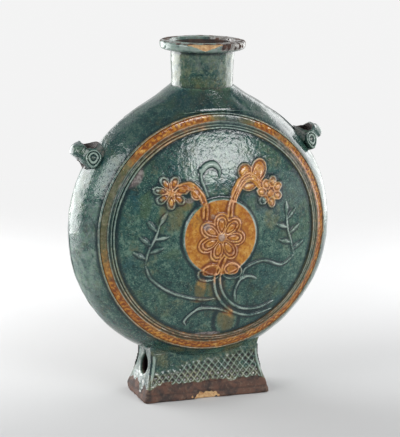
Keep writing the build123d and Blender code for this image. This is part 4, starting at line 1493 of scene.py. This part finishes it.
def hole_edge(places):
    """How far outside the tapered cord hole a place in a lug is."""
    out, through, up = np.moveaxis(places, -1, 0)
    share = np.clip((up + lug_half_height) / (2 * lug_half_height), -0.2, 1.2)
    across, along = 2.8 + 3.6 * share, 6.0 + 5.6 * share
    return (np.hypot((out - 1.8 - 6.0 * share) / across, through / along) - 1.0) * across


def mouth_height(places):
    """How far over the sagging plane of the mouth each place in a lug is."""
    sag = mouth_sag * np.minimum(places[..., 1] / 9.0, 1.4) ** 2
    return (places[..., 2] + mouth_slope * places[..., 0] - mouth_level + sag) * 0.89


def lug_field(side_name):
    """Distance field of a lug over its own grid."""
    places = field_places(lug_low, lug_high, lug_step)
    out, through, up = np.moveaxis(places, -1, 0)
    side = outline_distance(out[:, 0, :], up[:, 0, :], lug_outline)[:, None, :] + 0 * through
    half = np.interp(out, [-lug_root, lug_cheek_reach, lug_reach],
                     [lug_root_half_depth, lug_cheek_half_depth, lug_nose_half_depth])
    cheek = (np.abs(through) - half) / math.hypot(1.0, cheek_slope)
    half = np.interp(up, [-lug_half_height, lug_chin_top], [lug_chin_half_depth, lug_root_half_depth])
    chin = (np.abs(through) - half) * 0.6
    head = blend_high(blend_high(side, cheek, 3.4), chin, 6.0)
    head = blend_high(head, mouth_height(places), 2.0)
    nose = np.sqrt((((places - nose_centre) / nose_radii) ** 2).sum(-1)) - 1.0
    head = blend_low(head, nose * nose_scale, 3.4)
    edge = (np.hypot((out - lip_reach) / lip_radii[0], through / lip_radii[1]) - 1.0) * lip_radii[0]
    lip = np.hypot(edge, mouth_height(places) + 0.2) - lip_half_thickness
    head = blend_low(head, lip, 1.2)
    snout = 0.9 * np.exp(-((out - 9.4) / 1.5) ** 2) * smooth(3.0, 7.0, np.abs(through)) * smooth(6.0, 1.0, up)
    fold = 0.8 * np.exp(-((out - 7.0) / 1.1) ** 2) * smooth(-5.0, -8.0, up)
    flare = 0.9 * np.clip(1.0 - (out + 1.0) / 5.0, 0.0, 1.0) ** 2
    seed = lug_seeds[side_name]
    waver = 0.18 * waves(places, 11.0, seed) + 0.05 * waves(places, 4.2, seed + 1)
    shaped = head + 0.2 + snout + fold + (waver - flare) * smooth(-5.0, -1.0, out)
    return blend_high(shaped, -hole_edge(places), 0.8)


def lug_marks(places, side_name):
    """Marks of the glaze on a lug: mouth painted dark as shade, lip and nose paler as worn glaze and painted
    highlight, painted shade at the root, brown side.
    """
    hole, top, out = hole_edge(places), mouth_height(places), places[:, 0]
    mouth = smooth(1.5, 0.3, hole)
    lip = smooth(-1.4, 0.2, top) * smooth(3.2, 1.6, hole)
    speckle = smooth(-0.3, 0.8, waves(places, 2.6, 141))
    nose = smooth(9.5, 12.5, out)
    root = smooth(3.5, -0.5, out)
    brown = smooth(5.0, 1.0, out) * smooth(-5.0, -1.0, top)
    # Painted highlight with wear: the lip and nose are paler. Painted shade: darker at the root
    wear_and_highlight = np.maximum(0.7 * lip * (1 - 0.8 * brown), 0.5 * nose) * speckle * (1 - mouth)
    pool = np.maximum.reduce([0.45 * root, 0.45 * nose * (1 - speckle), 0.5 * brown])
    # Painted shade: the mouth near-black over bare clay
    bare = np.maximum(0.85 * mouth, lug_brown_strengths[side_name] * brown)
    return make_marks(len(places), crest=wear_and_highlight, pool=pool, pale=0.20 * (1 - root) * (1 - brown),
                      amber=0.20 * brown, mist=0.45 * brown, bare=bare, dark=0.95 * mouth)


def add_lug(side_name, slot):
    """One cord lug like a small head."""
    places, quads, normals = surface_net(lug_field(side_name), lug_low, lug_step)
    origin, out, up = lug_axes(side_name)
    axes = np.array([out, [0.0, 1.0, 0.0], up])
    node = f"{side_name}_lug"
    marks = lug_marks(places, side_name)
    points = origin + places @ axes
    add_piece("looks_" + node, [node], slot, points, facing_out(points, quads), marks, normals @ axes)


def add_eye(side_name, facing_name, slot):
    """Round eye with raised rings and a drop-shaped tip on one cheek of a lug."""
    facing = np.array([0.0, -1.0 if facing_name == "front" else 1.0, 0.0])
    origin, out, up = lug_axes(side_name)
    along, normal = unit(out - facing * cheek_slope), unit(facing + out * cheek_slope)
    half = lug_root_half_depth - cheek_slope * (eye_reach + lug_root)
    seat = origin + out * eye_reach + up * eye_up + facing * half
    share = np.linspace(0.0, 1.0, eye_rows)[:, None]
    angle = full_turn(eye_steps)[None, :]
    down = unit(np.array([-along[2], -up[2]]))
    tip = np.clip(np.cos(angle) * down[0] + np.sin(angle) * down[1], 0.0, 1.0) ** 7
    reach = eye_radius * share * (1.0 + 0.36 * tip * share)
    rise = sum(ridge(share - place, width, tall) for place, width, tall in eye_ridges)
    rise = rise - 1.6 * smooth(0.97, 1.0, share) - 0.1
    x, y = reach * np.cos(angle), reach * np.sin(angle)
    place = seat + x[..., None] * along + y[..., None] * up
    back = place[-1:] - eye_depth * normal
    place = place + (rise + 0.35 + 0.10 * waves(place, 4.0, 151))[..., None] * normal
    middle = np.repeat((seat - eye_depth * normal)[None, None], eye_steps, axis=1)
    grid = np.concatenate([place, back, middle])
    points = grid.reshape(-1, 3)
    quads = facing_out(points, turned_quads(len(grid), eye_steps))
    shares = np.concatenate([share[:, 0], [1.0, 0.0]]).repeat(eye_steps)
    # Ring tops paler, worn glaze and painted highlight; grooves and the edge darker, pooled glaze and painted
    # shade
    pool = np.maximum(lines_over(shares, eye_pools), smooth(0.95, 1.0, shares))
    marks = make_marks(len(points), crest=lines_over(shares, eye_crests), pool=pool,
                       mist=0.6 * smooth(0.24, 0.12, shares))
    node = f"{side_name}_lug_{facing_name}_eye"
    add_piece("looks_" + node, [node], slot, points, quads, marks, mesh_normals(points, quads))


# Foot: a field hollow underneath, with the cord holes through its ends

foot_step = 0.85
foot_low = np.array([-58.6, -29.6, -1.0])
foot_high = np.array([59.45, 30.45, 61.85])
foot_heights = np.array([0.0, 19.0, 38.0, 56.0])
foot_half_widths = np.array([56.8, 51.4, 48.2, 54.0])
foot_half_depths = np.array([27.8, 21.6, 18.4, 24.0])
foot_top = 58.0
foot_wall = 6.0
foot_hole_height = 27.0
foot_hole_radius = 8.2
foot_hole_stretch = 1.14
foot_hole_point = 40.0
foot_groove_height = 6.2
foot_chip_centre = (-1.0, 1.0)
foot_glaze_edge = 14.6
most_foot_amber = 0.34

# Cubics through the four half sizes
width_curve = np.polyfit(foot_heights, foot_half_widths, 3)
depth_curve = np.polyfit(foot_heights, foot_half_depths, 3)


def foot_chip(x, z, across, up):
    """How far outside an oval round the foot's chip a place is, in shares."""
    return np.hypot((x - foot_chip_centre[0]) / across, (z - foot_chip_centre[1]) / up) * 2 - 2


def foot_field():
    """Distance field of the foot."""
    places = field_places(foot_low, foot_high, foot_step)
    x, y, z = np.moveaxis(places, -1, 0)
    level = np.clip(z, 0.0, foot_top)
    width, depth = np.polyval(width_curve, level), np.polyval(depth_curve, level)
    waver = 0.40 * waves(places, 40.0, 161) + 0.16 * waves(places, 11.0, 162)
    outer = blend_high(np.abs(x) - width, np.abs(y) - depth, 3.4) + 0.45 + waver
    groove_away = z - foot_groove_height - 0.5 * waves(places, 30.0, 163)
    groove = 0.5 * np.exp(-(groove_away / 0.8) ** 2) * (y < 0)
    edge = 0.9 * smooth(0.9, 1.6, waves(places, 8.0, 164)) * smooth(5.0, 0.0, z)
    chip = 1.5 * smooth(1.0, -1.0, foot_chip(x, z, 9.5, 4.2)) * (y < -15)
    back_cut = 1.6 * smooth(6.0, 0.0, z) * smooth(-30.0, -50.0, x) * smooth(10.0, 24.0, y)
    outer = outer + groove + edge + chip + back_cut
    inner = np.maximum(np.abs(x) - (width - foot_wall), np.abs(y) - (depth - foot_wall))
    over = z - foot_hole_height
    drop = np.hypot(y / foot_hole_stretch, over) - foot_hole_radius
    point = np.maximum(0.84 * np.abs(y) / foot_hole_stretch + 0.55 * over - 7.0, -over)
    hole = blend_low(drop, np.maximum(point, z - foot_hole_point), 0.6)
    walls = blend_high(blend_high(outer, -inner, 1.5), -hole, 1.6)
    under_body = reach_round_body(places) - flank_radius_at(np.minimum(np.abs(y), ring_outer_depth)) + 1.5
    low_edge = 0.35 - z + 0.3 * waves(places, 16.0, 165)
    return np.maximum.reduce([walls, -under_body, low_edge])


def foot_bare(points):
    """How bare the clay is, below the uneven lower edge of the glaze."""
    x, y, z = points[:, 0], points[:, 1], points[:, 2]
    edge = foot_glaze_edge + 1.5 * waves(points, 14.0, 171) + 0.8 * waves(points, 5.0, 172)
    drip = 5.0 * np.exp(-((y + 9.0) / 4.5) ** 2)
    edge = edge - smooth(44.0, 50.0, np.abs(x)) * (2.4 + drip)
    return smooth(edge + 1.0, edge - 1.0, z)


def foot_amber(points, top_fade=1.0):
    """The olive cast of the foot's broad faces, stronger low down."""
    olive = 0.14 + 0.12 * smooth(-0.9, 0.6, waves(points, 18.0, 174))
    return 0.36 * smooth(26.0, 16.0, points[..., 2]) + olive * top_fade


def add_foot(slot):
    """The flared, hollow foot."""
    points, quads, normals = surface_net(foot_field(), foot_low, foot_step)
    points[:, 2] = np.maximum(points[:, 2], 0.0)
    x, y, z = points.T
    width, depth = np.polyval(width_curve, z), np.polyval(depth_curve, z)
    inside = (np.abs(x) < width - 3.4) & (np.abs(y) < depth - 3.4)
    hole = np.hypot(y / foot_hole_stretch, z - foot_hole_height) - foot_hole_radius - 0.4
    end = smooth(-4.0, -1.0, np.abs(x) - width) * smooth(-2.2, -4.0, np.abs(y) - depth)
    corner = smooth(3.2, 0.4, np.hypot(np.maximum(width - np.abs(x), 0), np.maximum(depth - np.abs(y), 0)))
    chip = smooth(0.6, -0.4, foot_chip(x, z, 10.0, 4.6) + 0.5 * waves(points, 4.0, 173)) * (y < -20)
    amber = foot_amber(points, smooth(54.0, 46.0, z)) * (1 - end)
    rim_line = ridge(hole, 1.4, 0.9) * end * (z < 42)
    # Painted highlight: the upright corners and the rims of the cord holes are paler
    # Painted shade: darker at the top under the body, near-black inside and along the low groove
    # Painted sheen: the end faces are paler and greyer
    marks = make_marks(len(points), bare=np.maximum(foot_bare(points), inside), chip=chip,
                       dark=np.maximum(0.9 * inside, ridge(z - 6.0, 0.8, 0.5)), pale=0.30 * end,
                       mist=0.45 * end, crest=np.maximum(0.75 * corner * smooth(12.0, 20.0, z), rim_line),
                       amber=np.minimum(amber, most_foot_amber), pool=0.4 * smooth(46.0, 54.0, z) * (1 - end))
    nodes = [f"foot_{side}_slab" for side in ("front", "back", "left", "right")]
    add_piece("looks_foot", nodes, slot, points, quads, marks, normals)


lattice_step = 0.5
lattice_half_width = 50.0
lattice_low = 12.0
lattice_high = 41.0
lattice_middle = 23.25
lattice_lean = math.radians(42.0)
lattice_pitch = 5.6 * math.cos(lattice_lean)
lattice_bar_half_width = 0.62
lattice_bar_rise = 0.85
lattice_frame_inset = 3.4
lattice_frame_rise = 0.9
lattice_depth = 2.4


def lattice_relief(x, z, half):
    """Height of the crossed lines and of the frame beside them, and where the lines fade out."""
    places = np.stack([x, 0 * x, z], -1)
    bend = 0.5 * waves(places, 22.0, 181)
    bars = np.zeros_like(x)
    for lean in (-1.0, 1.0):
        across = (x + bend) * math.cos(lattice_lean) + lean * (z - lattice_middle) * math.sin(lattice_lean)
        away = np.abs((across + lattice_pitch / 2) % lattice_pitch - lattice_pitch / 2)
        bars = np.maximum(bars, ridge(away, lattice_bar_half_width, 1.0))
    top = 22.5 + 7.5 * smooth(-42.0, -8.0, x) + 7.5 * smooth(0.0, 34.0, x) + 1.6 * waves(places, 9.0, 182)
    fade = smooth(top + 3.0, top - 3.5, z) * smooth(13.2, 14.6, z)
    inset = half - lattice_frame_inset - np.abs(x)
    frame_bar = ridge(inset + 0.6, 1.5, 1.0) * smooth(40.0, 34.0, z) * smooth(12.5, 15.0, z)
    return lattice_bar_rise * bars * fade * smooth(0.8, 2.0, inset) + lattice_frame_rise * frame_bar, fade


def add_lattices(slot):
    """Crossed raised lines on both broad faces of the foot."""
    columns = np.arange(-lattice_half_width, lattice_half_width + lattice_step, lattice_step)
    x, z = np.meshgrid(columns, np.arange(lattice_low, lattice_high + lattice_step, lattice_step))
    half, face = np.polyval(width_curve, z), np.polyval(depth_curve, z)
    rise, fade = lattice_relief(x, z, half)
    border = np.minimum.reduce([half - 0.9 - np.abs(x), z - lattice_low - 0.6, lattice_high - 0.4 - z])
    rise = soften(rise, 0.7) + 0.12 - 0.9 * smooth(1.0, 0.0, border)
    depth = face - 0.45 - 0.40 * waves(np.stack([x, -face, z], -1), 40.0, 161) + rise
    top = np.stack([x, -depth, z], -1)
    under = np.stack([x, lattice_depth - face, z], -1)
    # Painted highlight on the bar tops, and painted shade in the cells, near-black deep in them
    wide_rise = soften(rise, 3.0)
    pool = smooth(0.02, 0.30, wide_rise - rise)
    crest = 0.95 * smooth(0.05, 0.42, rise - wide_rise) * smooth(40.0, 37.5, z)
    bare = foot_bare(top.reshape(-1, 3))
    marks = make_marks(x.size, crest=crest.ravel() * (1 - 0.6 * bare), pool=0.95 * pool, bare=bare,
                       dark=0.85 * pool * smooth(0.2, 0.8, fade),
                       amber=np.minimum(foot_amber(top), most_foot_amber))
    cells = cell_mean(border) > -0.6
    add_pair("foot_{}_lattice", slot, *plate(top, under, cells, relief_normals(depth, lattice_step), marks))


# All pieces

add_shells("teal_glaze")
add_panel_piece("disc", cell_panel & cell_disc & (cell_top < 0), "amber_glaze")
for number, name in enumerate(drawings):
    glazed_amber = name in amber_strengths or name == "left_flower"
    add_panel_piece(name, cell_panel & (cell_top == number), "amber_glaze" if glazed_amber else "teal_glaze")
add_rings()
add_neck("teal_glaze")
add_rim("worn_clay")
add_collar("teal_glaze")
for side_name in ("left", "right"):
    add_lug(side_name, "teal_glaze")
    for facing_name in ("front", "back"):
        add_eye(side_name, facing_name, "teal_glaze")
add_foot("teal_glaze")
add_lattices("teal_glaze")

# Camera, as fitted to the photo

camera_turn = math.radians(-20.656)
camera_pitch = math.radians(12.173)
camera_roll = math.radians(0.877)
camera_distance = 1558.1
camera_aim_across = 0.174
camera_aim_height = 149.39
camera_lens = 152.96

# Stage: one pale sweep under and behind the flask, turned to face the camera

sweep_half_width = 6000.0
sweep_back = 1500.0
sweep_bend = 900.0
sweep_height = 3600.0
sweep_front = [(-5000.0, 0.0), (-1500.0, 0.0), (0.0, 0.0), (sweep_back - sweep_bend, 0.0)]
# Painted shade: the floor's tone is darker towards the front
floor_front = tone(174, 174, 174)
floor_middle = tone(213, 213, 213)
floor_back = tone(237, 237, 237)
wall_low = tone(243, 243, 243)
wall_high = tone(247, 247, 247)

# Where the sweep turns from one tone to the next, in metres back or up from its middle
floor_middle_fade = (-0.45, 0.10)
floor_back_fade = (0.05, 0.65)
wall_fade = (0.0, 0.9)
backdrop_fade = (0.25, 0.80)

# Lamps: name, place, aim, width, height and power in watts
flask_middle = (0.0, 0.0, 150.0)
softboxes = [
    ("key", (535.0, -1340.0, 700.0), (0.0, -45.0, 213.0), 760.0, 450.0, 11.5),
    ("side", (-1062.0, -285.0, 800.0), flask_middle, 560.0, 760.0, 6.6),
    ("left_back", (-480.0, 510.0, 250.0), flask_middle, 720.0, 620.0, 7.6),
    ("right_back", (676.0, 181.0, 285.0), flask_middle, 800.0, 560.0, 3.6),
    ("front_right", (1150.0, -950.0, 190.0), flask_middle, 900.0, 380.0, 1.5),
]
sky_colour = (0.96, 0.98, 1.0, 1.0)
sky_strength = 0.33


def sweep_material():
    """Pale floor, painted darker towards the front as shade, and a wall that is seen as plain near-white."""
    s = Shading("sweep")
    place = s.add("SeparateXYZ", {0: s.add("TexCoord").outputs["Object"]}).outputs
    floor_tone = s.mix(s.ramp(place["Y"], *floor_middle_fade), floor_front, floor_middle)
    floor_tone = s.mix(s.ramp(place["Y"], *floor_back_fade), floor_tone, floor_back)
    floor = s.add("BsdfDiffuse", {"Color": floor_tone})
    wall_tone = s.mix(s.ramp(place["Z"], *wall_fade), wall_low, wall_high)
    backdrop = s.add("Emission", {"Color": wall_tone, "Strength": 1.0})
    rays = s.add("LightPath").outputs
    seen = s.math("MAXIMUM", rays["Is Camera Ray"], rays["Is Glossy Ray"])
    share = s.times(seen, s.ramp(place["Y"], *backdrop_fade))
    return s.finish(s.add("MixShader", {0: share, 1: floor.outputs[0], 2: backdrop.outputs[0]}))


def add_stage():
    """Floor that curves up into a backdrop."""
    turn = np.linspace(0.0, math.pi / 2, 16)[1:]
    bend = [(sweep_back - sweep_bend + sweep_bend * math.sin(t), sweep_bend - sweep_bend * math.cos(t))
            for t in turn]
    run = sweep_front + bend + [(sweep_back, sweep_height)]
    points = np.array([(x, y, z) for y, z in run for x in (-sweep_half_width, sweep_half_width)])
    quads = [(2 * k, 2 * k + 1, 2 * k + 3, 2 * k + 2) for k in range(len(run) - 1)]
    mesh = bpy.data.meshes.new("sweep")
    mesh.from_pydata((points * MM).tolist(), [], quads)
    mesh.shade_smooth()
    mesh.materials.append(sweep_material())
    sweep = bpy.data.objects.new("sweep", mesh)
    sweep.rotation_euler = (0.0, 0.0, camera_turn)
    bpy.context.scene.collection.objects.link(sweep)


def add_camera():
    """The camera of the photo."""
    turn, pitch, roll = camera_turn, camera_pitch, camera_roll
    back = Vector((math.sin(turn) * math.cos(pitch), -math.cos(turn) * math.cos(pitch), math.sin(pitch)))
    right = Vector((math.cos(turn), math.sin(turn), 0.0))
    up = back.cross(right)
    rolled = right * math.cos(roll) + up * math.sin(roll)
    upward = up * math.cos(roll) - right * math.sin(roll)
    aim = right * camera_aim_across + Vector((0.0, 0.0, camera_aim_height))
    data = bpy.data.cameras.new("photo_camera")
    data.lens = camera_lens
    camera = bpy.data.objects.new("photo_camera", data)
    matrix = Matrix((rolled, upward, back)).transposed().to_4x4()
    matrix.translation = (aim + back * camera_distance) * MM
    camera.matrix_world = matrix
    bpy.context.scene.collection.objects.link(camera)
    bpy.context.scene.camera = camera


def add_softbox(name, place, aim, width, tall, power):
    """A rectangular lamp at a place in millimetres, turned to a point."""
    data = bpy.data.lights.new(name, "AREA")
    data.shape = "RECTANGLE"
    data.size, data.size_y = width * MM, tall * MM
    data.energy = power
    lamp = bpy.data.objects.new(name, data)
    direction = Vector(aim) - Vector(place)
    lamp.matrix_world = (Matrix.Translation(Vector(place) * MM)
                         @ direction.to_track_quat("-Z", "Y").to_matrix().to_4x4())
    bpy.context.scene.collection.objects.link(lamp)


add_stage()
add_camera()
for softbox in softboxes:
    add_softbox(*softbox)

world = bpy.data.worlds.new("studio")
world.use_nodes = True
sky = world.node_tree.nodes["Background"]
sky.inputs["Color"].default_value = sky_colour
sky.inputs["Strength"].default_value = sky_strength
scene = bpy.context.scene
scene.world = world
scene.view_settings.view_transform = "Standard"
